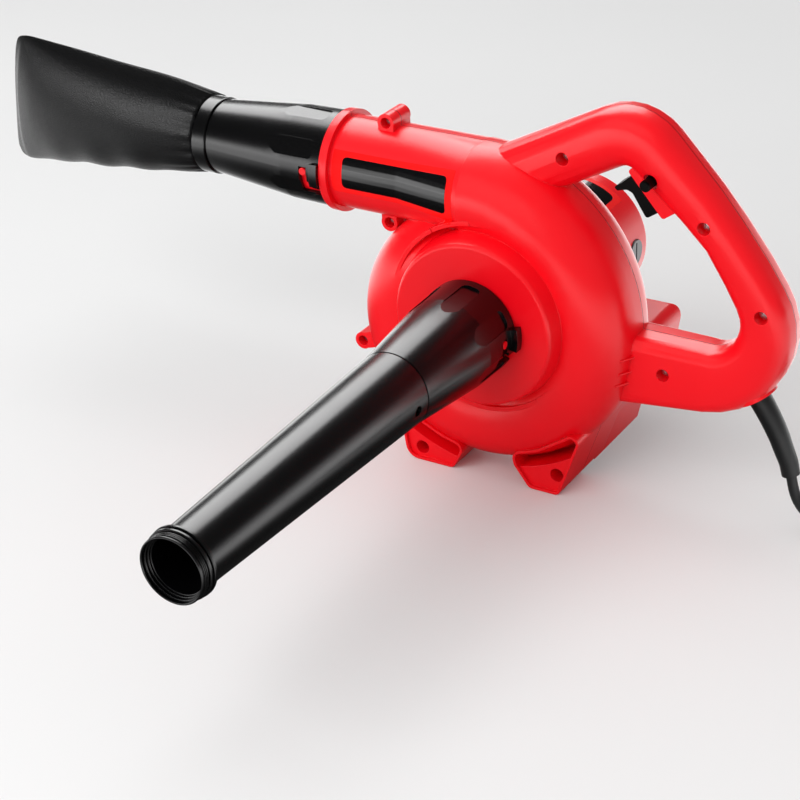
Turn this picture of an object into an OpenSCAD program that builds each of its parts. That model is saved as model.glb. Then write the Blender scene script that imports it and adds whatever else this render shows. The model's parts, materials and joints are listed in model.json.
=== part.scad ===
// Corded electric blower set up for suction: a scroll housing in two halves with a loop handle,
// a suction pipe on the intake and a dust bag on the outlet. Millimetres, +Z up, floor at z = 0.
// The fan axis runs along Y, the outlet along -X and the intake along -Y.

/* [Scroll housing] */
// Height of the fan axis above the floor
fan_h = 122; // [119:1:126]
// Radius of the scroll's lower left arc
scroll_r = 94; // [92:1:97]
// Growth of the scroll's radius from one quarter to the next
scroll_step = 10.6; // [9.6:0.2:11.4]
// Radius of the outlet tube and of the scroll's rounded rim
tube_r = 31.5; // [30.5:0.5:32.5]
// Depth of the scroll in front of the seam
scroll_front = 41; // [39:1:43]
// Wall of the moulded housings
wall = 2.5; // [2:0.25:3]
// Radius of the raised intake face
intake_r = 57; // [55:1:59]
// Distance of the intake face in front of the seam
intake_depth = 53; // [50:1:56]
// Distance of the outlet's flange face from the fan axis
outlet_len = 124.5; // [120:0.5:132]
// Radius by which the outlet's flange stands out
flange_lip = 3.4; // [2.5:0.1:4]
// Thickness of the outlet's flange
flange_t = 6; // [4:0.5:8]

/* [Bayonet ports] */
// Outer radius of the spigots that carry the adapters
spigot_r = 29; // [28.5:0.25:29.5]
// Length of the spigots
spigot_len = 22; // [20:0.5:25]
// Radius of the bayonet pins
pin_r = 2.7; // [2.2:0.1:3]
// Distance of the pins from the port's face
pin_back = 14; // [12:0.5:15]
// Angle of the bayonet's turn
twist = 25; // [18:1:28]
// Gap between parts that slide on each other
fit_gap = 0.3; // [0.2:0.05:0.4]

/* [Adapters] */
// Length of an adapter without its end spigot
adapter_len = 98; // [90:1:104]
// Wall of an adapter around the port's spigot
adapter_wall = 3.7; // [3.2:0.1:4.2]
// Radius of an adapter's narrow end
adapter_end_r = 25.7; // [25:0.1:27]
// Length of the spigot on an adapter's narrow end
end_spigot_len = 22; // [18:1:26]
// Number of grip flutes round an adapter
flute_count = 7; // [5:1:8]
// Width of a grip flute
flute_w = 13; // [10:0.5:14]

/* [Suction pipe] */
// Length of the suction pipe
pipe_len = 228; // [200:2:260]
// Radius of the suction pipe behind its mouth ring
pipe_tip_r = 19.2; // [18.5:0.1:20]
// Radius of the pipe's bore at the mouth
mouth_r = 17.4; // [16.5:0.1:17.9]
// Radius of the largest mouth ring
mouth_ring_r = 22.2; // [21.5:0.1:24]

/* [Dust bag] */
// Length of the dust bag behind its collar
bag_len = 173; // [150:1:190]
// Length of the bag's collar
collar_len = 11; // [9:0.5:14]
// Height of the bag near its far end
bag_h = 97; // [88:1:104]
// Thickness of the bag's cloth
cloth_t = 1.6; // [1.4:0.1:2]

/* [Handle] */
// Reach of the handle's upper corner from the fan axis
handle_x = 91.4; // [89:0.2:94]
// Height of the handle's upper corner above the fan axis
handle_z = 134; // [132:1:137]
// Reach of the handle's lower corner from the fan axis
grip_x = 213; // [210:1:217]
// Height of the lower arm below the fan axis
arm_z = 29.3; // [28:0.1:31]
// Width of the handle across the seam
handle_w = 33; // [31:0.5:35]
// Thickness of the grip at its middle
grip_t = 29; // [28:0.2:31]
// Travel of the trigger
trigger_travel = 4.5; // [3:0.5:4.5]
// Width of the trigger
trigger_w = 13; // [12:0.2:13.4]
// Travel of the lock button
lock_travel = 2.5; // [1.5:0.5:2.5]

/* [Motor] */
// Outer radius of the motor barrel
barrel_r = 46; // [45:0.5:48]
// Distance of the barrel's rear end behind the seam
barrel_back = 118; // [116:1:122]
// Radius of the impeller
impeller_r = 57; // [54:0.5:58]
// Number of impeller blades
blade_count = 9; // [7:1:11]
// Radius of the stator core
stator_r = 38; // [37:0.5:39]
// Radius of the armature core
armature_r = 20.6; // [20:0.1:20.8]
// Length of the stator and armature stacks
stack_len = 40; // [36:1:42]
// Radius of the rotor shaft in its front bearing
shaft_r = 5; // [4.5:0.1:5.5]

/* [Feet] */
// Distance of the front feet in front of the seam
foot_front = 35; // [33:1:37]
// Distance of the rear feet behind the seam
foot_back = 89; // [84:1:92]
// Height of the stand under the motor
stand_h = 80; // [78:0.5:82]
// Half width of the stand at its top
stand_w = 74; // [70:1:76]

/* [Screws] */
// Radius of the screw heads' sunk holes
sink_r = 4.3; // [4:0.1:4.5]
// Radius of the housing screws' shanks
screw_r = 1.9; // [1.7:0.1:2]

/* [Mains lead] */
// Diameter of the mains lead
cord_d = 7; // [6.5:0.1:7.5]

/* [Hidden] */
$fn = 64;
eps = 0.01;

red = "#e0101c";
black = "#1a1a1c";
steel = "#b8bcc0";
copper = "#b06030";

// Scroll: four quarter arcs whose centres step round a square, so that each runs on into the next
scroll_x = -7;
scroll_z = fan_h - 19;
arc_centres = [
    [scroll_x - scroll_step, scroll_z, scroll_r - scroll_step, 90],
    [scroll_x, scroll_z, scroll_r, 180],
    [scroll_x, scroll_z + scroll_step, scroll_r + scroll_step, 270],
    [scroll_x - scroll_step, scroll_z + scroll_step, scroll_r + 2 * scroll_step, 0]];
// The scroll's rim is rounded a little wider than the tube, which comes out of it
rim_r = tube_r + 0.4;
outlet_z = scroll_z + scroll_r + 3 * scroll_step - rim_r;
scroll_end = scroll_x - scroll_step;
flange_r = tube_r + flange_lip;
duct_r = spigot_r - wall;

// Adapters, pipe and bag along their ports
adapter_r = spigot_r + fit_gap + adapter_wall;
end_spigot_r = adapter_end_r - 2.3;
end_bore_r = end_spigot_r - 2;
inlet_rim = intake_depth + fit_gap;
outlet_rim = outlet_len + fit_gap;
pipe_start = inlet_rim + adapter_len;
pipe_end = pipe_start + pipe_len;
bag_start = outlet_rim + adapter_len + collar_len;
bag_end = bag_start + bag_len;

// Handle: a rounded path through five corners, each with its squareness:
// [x, z, corner radius, half thickness, half width, squareness]
handle_path_corners = [
    [-2, outlet_z + 9.9, 0, 19.7, handle_w / 2 + 2.5, 2.7],
    [handle_x, fan_h + handle_z, 26, 19, handle_w / 2 + 0.8, 2.7],
    [handle_x + 62.6, fan_h + 73.8, 200, grip_t / 2, handle_w / 2, 2.7],
    [grip_x, fan_h - arm_z + 6.6, 41, 18.9, handle_w / 2, 2.9],
    [scroll_x + 77, fan_h - arm_z, 0, 26.2, handle_w / 2, 6]];

// Frame: the origin lies on the floor, under the middle of the blower without its lead
grip_right = grip_x - 12.3;
shift_x = (bag_end - grip_right) / 2;
shift_y = (pipe_end - barrel_back) / 2;

// Mains lead in the blower's own frame, before the shift. Its free stretch runs from the strain
// relief down to the coil: [reach beyond the grip's corner, shift to the rear, height as a share
// of the fall to the floor]
lead_floor = 4.6;
lead_fall = fan_h - 83.5 - lead_floor;
lead_points = [for (p = [[-10.8, 0, 1], [-8.2, 0, 0.68], [-5, 0, 0.46], [0, 0.4, 0.27],
        [6.8, 1.2, 0.12], [15, 2.6, 0.03], [24, 4.4, 0], [35, 7, 0], [46, 9.2, 0], [56, 10, 0],
        [66, 10, 0], [76, 10, 0]])
    [grip_x + p[0], p[1], lead_floor + lead_fall * p[2]]];
// Its inner run up the grip to the switch: [reach from the grip's corner, height over the fan axis]
inner_lead_points = [for (p = [[-42.3, -22.2], [-43.4, -19.6], [-44.2, -14], [-44, -6], [-41.4, 4],
        [-38.6, 12], [-37.6, 19], [-38.6, 25], [-41.6, 30], [-46.2, 37], [-49.5, 45], [-52.5, 54],
        [-55, 64], [-56.4, 72], [-57.6, 78.5], [-59.8, 84.4], [-62.8, 88.9], [-68.5, 93.2],
        [-73.2, 93.9], [-76, 95.4], [-78.7, 98.4]])
    [grip_x + p[0], 0, fan_h + p[1]]];

// ---------------------------------------------------------------- shared functions and shapes

function unit(v) = v / norm(v);
function mix(a, b, f) = a + (b - a) * f;
function turn_of(a, b) = atan2(a[0] * b[1] - a[1] * b[0], a * b);
function flat(p) = [p[0], p[1]];

function form(v) = [v[3], v[4], v[5]];

// Corner i of a path, as an arc of stations [x, z, half thickness, half width, squareness]
function corner_arc(c, i, step) =
    let(p = flat(c[i]), a = unit(p - flat(c[i - 1])), b = unit(flat(c[i + 1]) - p),
        t = turn_of(a, b), r = c[i][2], l = r * tan(abs(t) / 2), s = sign(t),
        mid = p - a * l + s * r * [-a[1], a[0]], n = max(1, ceil(abs(t) / step)),
        fs = l / norm(p - flat(c[i - 1])), fe = l / norm(flat(c[i + 1]) - p))
    [for (k = [0:n]) let(g = k / n, q = t * g, out = s * [a[1], -a[0]] * r,
            size = g < 0.5
                ? mix(mix(form(c[i]), form(c[i - 1]), fs), form(c[i]), 2 * g)
                : mix(form(c[i]), mix(form(c[i]), form(c[i + 1]), fe), 2 * g - 1))
        concat([mid[0] + out[0] * cos(q) - out[1] * sin(q),
            mid[1] + out[0] * sin(q) + out[1] * cos(q)], size)];

// Stations of a whole rounded path
function path_stations(c, step) = let(n = len(c))
    concat([concat(flat(c[0]), form(c[0]))],
        [for (i = [1:n - 2]) each corner_arc(c, i, step)],
        [concat(flat(c[n - 1]), form(c[n - 1]))]);

// Rounded-corner outline of a closed polygon whose corners are [x, y, radius]
function rounded(c, step = 15) = let(n = len(c))
    [for (i = [0:n - 1])
        let(p = flat(c[i]), a = unit(p - flat(c[(i + n - 1) % n])), b = unit(flat(c[(i + 1) % n]) - p),
            t = turn_of(a, b), r = c[i][2], l = r * tan(abs(t) / 2), s = sign(t),
            mid = p - a * l + s * r * [-a[1], a[0]], m = r > 0 ? max(1, ceil(abs(t) / step)) : 0)
        each (m == 0 ? [p] : [for (k = [0:m]) let(q = t * k / m, out = s * [a[1], -a[0]] * r)
            mid + [out[0] * cos(q) - out[1] * sin(q), out[0] * sin(q) + out[1] * cos(q)]])];

// Point on a rounded rectangle with half sizes h and w; a larger n gives squarer corners
function oval(h, w, n, q) = [h * sign(cos(q)) * pow(abs(cos(q)), 2 / n),
    w * sign(sin(q)) * pow(abs(sin(q)), 2 / n)];

// Solid through a list of rings with equal numbers of points
module loft(rings) {
    m = len(rings[0]);
    n = len(rings);
    polyhedron(points = [for (r = rings) each r],
        faces = concat(
            [for (i = [0:n - 2], j = [0:m - 1]) [i * m + j, (i + 1) * m + j, i * m + (j + 1) % m]],
            [for (i = [0:n - 2], j = [0:m - 1])
                [i * m + (j + 1) % m, (i + 1) * m + j, (i + 1) * m + (j + 1) % m]],
            [[for (j = [0:m - 1]) j]],
            [[for (j = [m - 1:-1:0]) (n - 1) * m + j]]));
}

// Rings round stations in the XZ plane
function station_rings(st, thinner, m) = let(k = len(st))
    [for (i = [0:k - 1])
        let(a = st[max(0, i - 1)], b = st[min(k - 1, i + 1)], t = unit([b[0] - a[0], b[1] - a[1]]))
        [for (j = [0:m - 1])
            let(o = oval(st[i][2] - thinner, st[i][3] - thinner, st[i][4], -360 * j / m))
            [st[i][0] - t[1] * o[0], o[1], st[i][1] + t[0] * o[0]]]];

// Direction of a path of points at its point i
function heading(p, i) = unit(p[min(len(p) - 1, i + 1)] - p[max(0, i - 1)]);

// Side vectors that follow a path without twisting
function side_vectors(p, i = 0, v = [0, 1, 0], done = []) = i == len(p) ? done :
    let(t = heading(p, i), s = unit(v - (v * t) * t)) side_vectors(p, i + 1, s, concat(done, [s]));

// Rings of a tube; radii is one radius for each point
function tube_rings(p, radii, m) = let(s = side_vectors(p))
    [for (i = [0:len(p) - 1]) let(t = heading(p, i), c = cross(t, s[i]))
        [for (j = [0:m - 1]) p[i] + radii[i] * (s[i] * cos(360 * j / m) + c * sin(360 * j / m))]];

module place() {
    translate([shift_x, shift_y, 0]) children();
}

// Local z points forwards out of the intake, local x to the right
module at_inlet(out = inlet_rim) {
    translate([0, -out, fan_h]) rotate([90, 0, 0]) children();
}

// Local z points out of the outlet, local x to the front
module at_outlet(out = outlet_rim) {
    translate([-out, 0, outlet_z]) rotate([90, 0, -90]) children();
}

// Local z points to the rear along the fan axis, measured from the seam
module on_fan_axis(back = 0) {
    translate([0, back, fan_h]) rotate([-90, 0, 0]) children();
}

// Cylinder along Y between two distances behind the seam
module bar_y(x, z, r, from, to) {
    translate([x, from, z]) rotate([-90, 0, 0]) cylinder(r = r, h = to - from);
}

// Plate along Y with an outline in the XZ plane
module plate_y(from, to) {
    translate([0, to, 0]) rotate([90, 0, 0]) linear_extrude(to - from) children();
}

module ring(outer, inner, from, to) {
    translate([0, 0, from]) difference() {
        cylinder(r = outer, h = to - from);
        translate([0, 0, -1]) cylinder(r = inner, h = to - from + 2);
    }
}

// ---------------------------------------------------------------- scroll, outlet and handle

// Outline of the scroll in the plane of its axis: rounded back and rim, and a front that falls
// away from its crest towards the intake
front_fall = 32;
module rim_profile(r, thinner) {
    curve = rim_r - thinner;
    flat_band = scroll_front - rim_r;
    steps = 8;
    fall_steps = 3;
    polygon(concat(
        [[0, -(rim_r - thinner)]],
        [for (k = [0:steps]) let(q = -90 + 90 * k / steps)
            [r - rim_r + curve * cos(q), curve * sin(q)]],
        [for (k = [0:steps]) let(q = 90 * k / steps)
            [r - rim_r + curve * cos(q), flat_band + curve * sin(q)]],
        [for (k = [1:fall_steps]) let(q = 90 + front_fall * k / fall_steps)
            [r - rim_r + curve * cos(q), flat_band + curve * sin(q)]],
        [[0, flat_band + curve * sin(90 + front_fall)]]));
}

// The four quarters of the scroll, thinner by a wall for its inside
module scroll_body(thinner) {
    for (a = arc_centres) translate([a[0], 0, a[1]]) rotate([90, 0, 0]) rotate([0, 0, a[3]])
        rotate_extrude(angle = 90, $fn = 96) rim_profile(a[2], thinner);
    on_fan_axis(-scroll_front + 6 + thinner) cylinder(r = intake_r - 7, h = scroll_front + 20);
}

// Cylinder along the outlet's axis between two distances to the left of the fan axis
module outlet_bar(r, from, to) {
    translate([-to, 0, outlet_z]) rotate([0, 90, 0]) rotate([0, 0, 50]) cylinder(r = r, h = to - from);
}

// Outlet tube with the fairing that leads the scroll's deeper front into it
fairing_len = 54;
module outlet_tube(thinner, end_wall = 0) {
    offset_y = scroll_front - rim_r;
    outlet_bar(tube_r - thinner, -scroll_end - 2, outlet_len - end_wall);
    translate([scroll_end + 6, -offset_y, outlet_z]) rotate([0, -90, -atan(offset_y / fairing_len)])
        rotate([0, 0, 50]) cylinder(r = tube_r - 0.2 - thinner, h = fairing_len);
}

module handle_loft(thinner, m, step) {
    loft(station_rings(path_stations(handle_path_corners, step), thinner, m));
}

// Keeps the half in front of the seam, or the half behind it
module half(side) {
    size = 600;
    intersection() {
        children();
        translate([-size / 2, side < 0 ? -size : 0, -size / 2]) cube([size, size, size * 1.5]);
    }
}

// Screw places in the seam plane, [x, z]
function corner_at(i) = flat(handle_path_corners[i]);
handle_screw_places = [
    mix(corner_at(0), corner_at(1), 0.53),
    mix(corner_at(1), corner_at(2), 0.84) + [-1, -2],
    mix(corner_at(2), corner_at(3), 0.45) + [2, -0.6],
    mix(corner_at(3), corner_at(4), 0.66) + [0, 2.2]];
lug_r = 6.2;
lug_back = 12;
lug_reach = 8;
lug_angle = 197;
lug_sink = 6.5;
// Screw places round the seam, [x, z, distance of the lug's front before the seam]
seam_screw_places = [
    [-85.6, outlet_z + tube_r + 3.7, 10],
    [-85.6, outlet_z - tube_r - 4, 10],
    [scroll_x + (scroll_r + lug_reach) * cos(lug_angle), scroll_z + (scroll_r + lug_reach) * sin(lug_angle), 20]];

// Feet outlines seen from the front, corners [x, z, radius]
foot_rise = fan_h - 75;
right_foot = [[32, 0, 5], [54, 0, 4], [69.5, foot_rise - 3, 5], [63, foot_rise + 1, 5],
    [38, foot_rise - 16, 12], [18.5, foot_rise - 23, 6], [20.5, foot_rise - 32, 6]];
left_foot = [[-62.5, 0, 10], [-26.5, 0, 4.5], [-16.5, foot_rise - 28, 6], [-35, foot_rise - 23, 12],
    [-50, foot_rise - 16, 12], [-66, foot_rise - 4, 5], [-65.6, foot_rise - 26, 12]];
foot_screw_places = [[-51.6, 8.8], [51.8, 14]];
foot_sink_r = 4.9;

module foot_outline(f) {
    polygon(rounded(f));
}

// Foot with its sunk front face, the pocket under the scroll and the screw's hole
module front_foot(f, s, pocket_r) {
    lip = 1.8;
    difference() {
        plate_y(-foot_front, 0) foot_outline(f);
        plate_y(-foot_front - 1, -foot_front + 2.2) offset(delta = -lip) foot_outline(f);
        plate_y(-foot_front + 2, -6) intersection() {
            offset(delta = -lip) foot_outline(f);
            translate([0, fan_h]) difference() {
                circle(r = pocket_r);
                circle(r = fan_h - 32);
            }
        }
        bar_y(s[0], s[1], foot_sink_r, -foot_front - 1, -14);
        bar_y(s[0], s[1], screw_r + 0.2, -15, 1);
    }
}

// Lugs of the seam screws with the webs that carry them
module seam_lugs() {
    for (p = seam_screw_places) bar_y(p[0], p[1], lug_r, -p[2], lug_back);
    for (k = [0, 1]) let(p = seam_screw_places[k], s = k == 0 ? -1 : 1)
        plate_y(-p[2], lug_back) translate([p[0] - lug_r + 0.4, p[1] + (s < 0 ? -8 : 0)])
            square([2 * lug_r - 0.8, 8]);
    p = seam_screw_places[2];
    plate_y(-p[2], lug_back) translate([p[0], p[1]]) rotate(lug_angle + 180) translate([0, 0.4 - lug_r])
        square([lug_reach + 4, 2 * lug_r - 0.8]);
}

// Small gussets between the lower arm's front face and the scroll's rim
module arm_ribs() {
    r = scroll_r + scroll_step;
    for (z = [-17.4, -27.6, -36.6]) let(x = scroll_x + sqrt(r * r - pow(fan_h + z - scroll_z - scroll_step, 2)))
        translate([x, 0, fan_h + z]) linear_extrude(1.3) polygon([[-9, -25], [-3.5, -25],
            [1.6, 0.3 - handle_w / 2], [-9, 0.3 - handle_w / 2]]);
}

// Shroud on the handle's inner side that the trigger slides in; local x along the grip, y to the loop
trigger_origin = corner_at(1) + [27, -26.1];
trigger_turn = -49.3;
guard_reach = 22.6;
module at_trigger() {
    translate([trigger_origin[0], 0, trigger_origin[1]]) rotate([90, 0, 0]) rotate([0, 0, trigger_turn])
        mirror([0, 1, 0]) children();
}

module trigger_shroud() {
    at_trigger() translate([0, 0, -trigger_w / 2 - 3.6]) linear_extrude(trigger_w + 7.2)
        polygon(rounded([[-20, 6, 0], [19.5, 6, 0], [18, guard_reach, 2], [-19, guard_reach, 2]]));
}

module trigger_slot() {
    at_trigger() translate([-16.4, 4, -trigger_w / 2 - fit_gap]) cube([30.6, 22, trigger_w + 2 * fit_gap]);
}

// Side hole of the lock button; local x along the grip, y to the loop
lock_place = [-5.8, 10.8];
lock_hole_r = 5.2;
lock_r = 3.7;

module at_lock() {
    at_trigger() translate([lock_place[0], lock_place[1], 0]) children();
}

// Outer form of both halves
module housing_outer() {
    scroll_body(0);
    outlet_tube(0);
    outlet_bar(flange_r, outlet_len - flange_t, outlet_len);
    handle_loft(0, 20, 12);
    trigger_shroud();
    seam_lugs();
    relief_socket();
}

// Hollow inside of both halves
module housing_inner() {
    scroll_body(wall);
    outlet_tube(wall, wall);
    handle_cavity();
    trigger_slot();
}

// The handle's hollow stops at the scroll's wall
module handle_cavity() {
    difference() {
        handle_loft(wall, 12, 15);
        scroll_body(0);
        outlet_tube(0);
    }
}

// Boss for a housing screw inside a hollow, from its front end to its rear end
module inner_bosses(from, to, r) {
    for (p = handle_screw_places) bar_y(p[0], p[1], r, from, to);
}

// ---------------------------------------------------------------- bayonet ports

module port_spigot() {
    translate([0, 0, -1]) cylinder(r = spigot_r, h = spigot_len + 1);
    for (a = [0, 180]) rotate([0, 0, a]) translate([spigot_r - 1, 0, pin_back]) rotate([0, 90, 0])
        cylinder(r = pin_r, h = adapter_wall + fit_gap + 0.6, $fn = 32);
}

flute_floor = adapter_r - 1.8;
cone_start = 32;

flute_reach = adapter_len / 2;
flute_corner = 3;
slot_r = pin_r + fit_gap;
slot_ends = asin(slot_r / spigot_r);
slot_z = pin_back - fit_gap;

module adapter() {
    difference() {
        union() {
            rotate_extrude($fn = 96) polygon([[0, 0], [adapter_r - 0.8, 0], [adapter_r, 0.8],
                [adapter_r - 0.7, cone_start], [adapter_end_r, adapter_len],
                [end_spigot_r, adapter_len], [end_spigot_r, adapter_len + end_spigot_len - 1],
                [end_spigot_r - 1, adapter_len + end_spigot_len], [0, adapter_len + end_spigot_len]]);
            // Raised lugs that stiffen the tongues beside the slots
            for (a = [0, 180]) rotate([0, 0, a - twist / 2]) rotate_extrude(angle = twist)
                translate([adapter_r - 2, 0]) square([6.2, 6.1]);
        }
        // Bore: a seat for the port's spigot, then a cone down to the end spigot
        rotate_extrude($fn = 96) polygon([[0, -1], [spigot_r + fit_gap, -1],
            [spigot_r + fit_gap, spigot_len + 1], [spigot_r - 1.2, cone_start],
            [end_bore_r, adapter_len], [end_bore_r, adapter_len + end_spigot_len + 1],
            [0, adapter_len + end_spigot_len + 1]]);
        for (k = [0:flute_count - 1]) rotate([0, 0, 28 + 360 / flute_count * k])
            translate([flute_floor, 0, 6.9]) rotate([0, 90, 0]) linear_extrude(8)
                polygon([[0, -flute_w / 2 + flute_corner], [0, flute_w / 2 - flute_corner],
                    [-1, flute_w / 2 - 1], [-flute_corner, flute_w / 2], [-flute_reach, flute_w / 2],
                    [-flute_reach, -flute_w / 2], [-flute_corner, -flute_w / 2], [-1, -flute_w / 2 + 1]]);
        // Bayonet slots: in along the port, then round
        for (a = [0, 180]) rotate([0, 0, a]) {
            rotate([0, 0, -twist - slot_ends]) rotate_extrude(angle = twist + 2 * slot_ends)
                translate([duct_r, slot_z - slot_r]) square([14, 2 * slot_r]);
            rotate([0, 0, -twist]) translate([duct_r, -slot_r, -1]) cube([14, 2 * slot_r, slot_z + 1]);
        }
    }
}

// ---------------------------------------------------------------- housings

// Raised intake face with its rounded edge
module intake_face() {
    edge = 3;
    on_fan_axis() rotate_extrude($fn = 96) polygon(concat(
        [[0, -scroll_front + 8], [0, -intake_depth]],
        [for (k = [0:4]) let(q = 90 - 72 * k / 4)
            [intake_r - edge + edge * cos(q), -intake_depth + edge - edge * sin(q)]],
        [[intake_r + 3, -scroll_front + 5], [intake_r + 3, -scroll_front + 8]]));
    // Flat ring round the face, with narrow gaps beside its tabs
    on_fan_axis(-scroll_front + 1) difference() {
        ring(intake_r + 10, intake_r + 7, 0, 8);
        for (a = [-122.8, -96.4, -87.5, -53, -27.2, -18.1, 7, 16.3, 43.1, 51.2]) rotate([0, 0, a])
            translate([intake_r + 6, -0.3, -1]) cube([5, 0.6, 2.2]);
    }
}

module front_housing() place() color(red) difference() {
    union() {
        difference() {
            union() {
                half(-1) housing_outer();
                intake_face();
                front_foot(right_foot, foot_screw_places[1], fan_h - 11);
                front_foot(left_foot, foot_screw_places[0], fan_h - 6);
                arm_ribs();
            }
            half(-1) housing_inner();
            on_fan_axis(-intake_depth + wall) cylinder(r = intake_r - wall, h = intake_depth - scroll_front + 9);
        }
        at_inlet(intake_depth) port_spigot();
        intersection() {
            at_outlet(outlet_len) port_spigot();
            translate([-outlet_len - 50, -100, 0]) cube([200, 100, 400]);
        }
        intersection() {
            inner_bosses(-handle_w / 2 - 8, 0, sink_r + 1.6);
            handle_loft(0.5, 12, 15);
        }
    }
    // Ducts through the intake and the outlet
    on_fan_axis(-intake_depth - spigot_len - 1) cylinder(r = duct_r, h = spigot_len + wall + 3);
    outlet_bar(duct_r, outlet_len - wall - 1, outlet_len + spigot_len + 1);
    for (p = handle_screw_places) {
        bar_y(p[0], p[1], sink_r, -handle_w, -9);
        bar_y(p[0], p[1], screw_r + 0.2, -10, 1);
    }
    for (p = seam_screw_places) {
        bar_y(p[0], p[1], sink_r - 0.6, -p[2] - 1, lug_sink - p[2]);
        bar_y(p[0], p[1], screw_r + 0.2, -p[2], 1);
    }
    at_lock() cylinder(r = lock_r + fit_gap, h = 40);
    at_lock() translate([0, 0, handle_w / 2 - 3.9]) cylinder(r = lock_hole_r, h = 20);
    relief_hole();
}

// Stand under the motor: the front view and the side view of its shell
module stand_front_view(w) {
    polygon(rounded([[-54 + w, w > 0 ? -1 : 0, 0], [54 - w, w > 0 ? -1 : 0, 0], [59 - w, 26, 20],
        [stand_w - 4 - w, 52, 20], [stand_w - w, stand_h - w, 9], [-stand_w + w, stand_h - w, 9],
        [-stand_w + 4 + w, 52, 20], [-59 + w, 26, 20]]));
}

module stand_side_view(w, front) {
    polygon(rounded([[front, w > 0 ? -1 : 0, 0], [foot_back - w, w > 0 ? -1 : 0, 0],
        [foot_back + 4 - w, 24, 20], [barrel_back - 2 - w, 50, 20], [barrel_back - w, stand_h - w, 3],
        [front, stand_h - w, 0]]));
}

module stand(w, front) {
    intersection() {
        plate_y(front, barrel_back + 2) stand_front_view(w);
        rotate([90, 0, 90]) translate([0, 0, -100]) linear_extrude(200) stand_side_view(w, front);
    }
}

barrel_in = barrel_r - wall;
rim_y = 29;

module rear_housing() place() color(red) difference() {
    union() {
        difference() {
            union() {
                half(1) housing_outer();
                plate_y(0, tube_r) foot_outline(right_foot);
                plate_y(0, tube_r) foot_outline(left_foot);
                difference() {
                    stand(0, 20);
                    stand(3, 32);
                    // Arch between the rear feet
                    plate_y(-1, 200) polygon(rounded([[-30, -1, 0], [30, -1, 0], [30, 40, 12], [-30, 40, 12]]));
                }
                // Motor barrel with its rounded rear edge
                on_fan_axis() rotate_extrude($fn = 96) polygon(concat(
                    [[0, tube_r - 1]], [[barrel_r, tube_r - 1]],
                    [for (k = [0:5]) let(q = 90 * k / 5)
                        [barrel_r - 4 + 4 * cos(q), barrel_back - 4 + 4 * sin(q)]],
                    [[0, barrel_back]]));
            }
            half(1) housing_inner();
            // Inside of the barrel, open to the fan chamber and to the rear cover
            on_fan_axis() rotate_extrude($fn = 96) polygon([[0, 28], [stator_r - 2, 28], [stator_r - 2, 33],
                [barrel_in, 33], [barrel_in, barrel_back - 1], [barrel_in - 1.5, barrel_back - 1],
                [barrel_in - 1.5, barrel_back + 1], [0, barrel_back + 1]]);
        }
        intersection() {
            at_outlet(outlet_len) port_spigot();
            translate([-outlet_len - 50, 0, 0]) cube([200, 100, 400]);
        }
        // Ring wall that carries the bearing bracket
        on_fan_axis() ring(bracket_r, bracket_r - wall, 4, rim_y + 1);
        for (a = [45:90:315]) on_fan_axis() rotate([0, 0, a]) translate([56, 0, 4])
            cylinder(r = 5, h = rim_y - 3);
        intersection() {
            inner_bosses(0, handle_w / 2 + 8, 4.5);
            handle_loft(0.5, 12, 15);
        }
        // Posts of the lead's clamp
        for (s = [-1, 1]) at_clamp() translate([s * clamp_reach, 0, 0]) rotate([-90, 0, 0])
            translate([0, 0, -clamp_back]) cylinder(r = 3.4, h = clamp_back + handle_w / 2 - 3);
        // Ribs that hold the stator in the barrel
        for (a = [45:90:315]) on_fan_axis() rotate([0, 0, a]) translate([stator_r, -3, stack_y + 2])
            cube([barrel_in - stator_r + 1, 6, stack_len - 4]);
        // Bosses of the brush holders
        for (s = [-1, 1]) translate([s * (barrel_in - 11), brush_y, fan_h]) rotate([0, s * 90, 0])
            cylinder(r = 10, h = 12);
        // Bosses of the rear cover's screws
        for (a = [45:90:315]) on_fan_axis() rotate([0, 0, a]) translate([38.5, 0, barrel_back - 22])
            cylinder(r = 5.4, h = 17.5);
    }
    outlet_bar(duct_r, outlet_len - wall - 1, outlet_len + spigot_len + 1);
    for (s = [-1, 1]) translate([s * (barrel_in - 12), brush_y, fan_h]) rotate([0, s * 90, 0]) {
        cylinder(r = 6.05, h = 16);
        translate([0, 0, 12]) cylinder(r = 9.4, h = 12);
    }
    for (p = handle_screw_places) bar_y(p[0], p[1], screw_r - 0.4, -1, 11);
    for (p = seam_screw_places) bar_y(p[0], p[1], screw_r - 0.4, -1, lug_back - 2);
    for (p = foot_screw_places) bar_y(p[0], p[1], screw_r - 0.4, -1, 20);
    for (s = [-1, 1]) at_clamp() translate([s * clamp_reach, 0, 0]) rotate([-90, 0, 0])
        translate([0, 0, -clamp_back - 1]) cylinder(r = 1.2, h = 12);
    for (a = [45:90:315]) on_fan_axis() rotate([0, 0, a]) {
        translate([56, 0, 3]) cylinder(r = 1.3, h = 12);
        translate([38.5, 0, barrel_back - 18]) cylinder(r = 1.3, h = 20);
    }
    relief_hole();
}

module motor_cover() place() color(red) on_fan_axis() difference() {
    union() {
        translate([0, 0, barrel_back - 4]) cylinder(r = barrel_in - 1.8, h = 3.4);
        translate([0, 0, barrel_back - 13.5]) cylinder(r = 14, h = 10);
    }
    translate([0, 0, barrel_back - 14.5]) cylinder(r = 11.02, h = 8.5);
    for (a = [0:30:330]) rotate([0, 0, a]) translate([22, -1.6, barrel_back - 6]) cube([14, 3.2, 8]);
    for (a = [45:90:315]) rotate([0, 0, a]) translate([38.5, 0, barrel_back - 8]) {
        cylinder(r = 1.8, h = 10);
        translate([0, 0, 5.5]) cylinder(r = 3.2, h = 4);
    }
}

// ---------------------------------------------------------------- attachments

module inlet_adapter() place() color(black) at_inlet() adapter();
module outlet_adapter() place() color(black) at_outlet() adapter();

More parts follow.
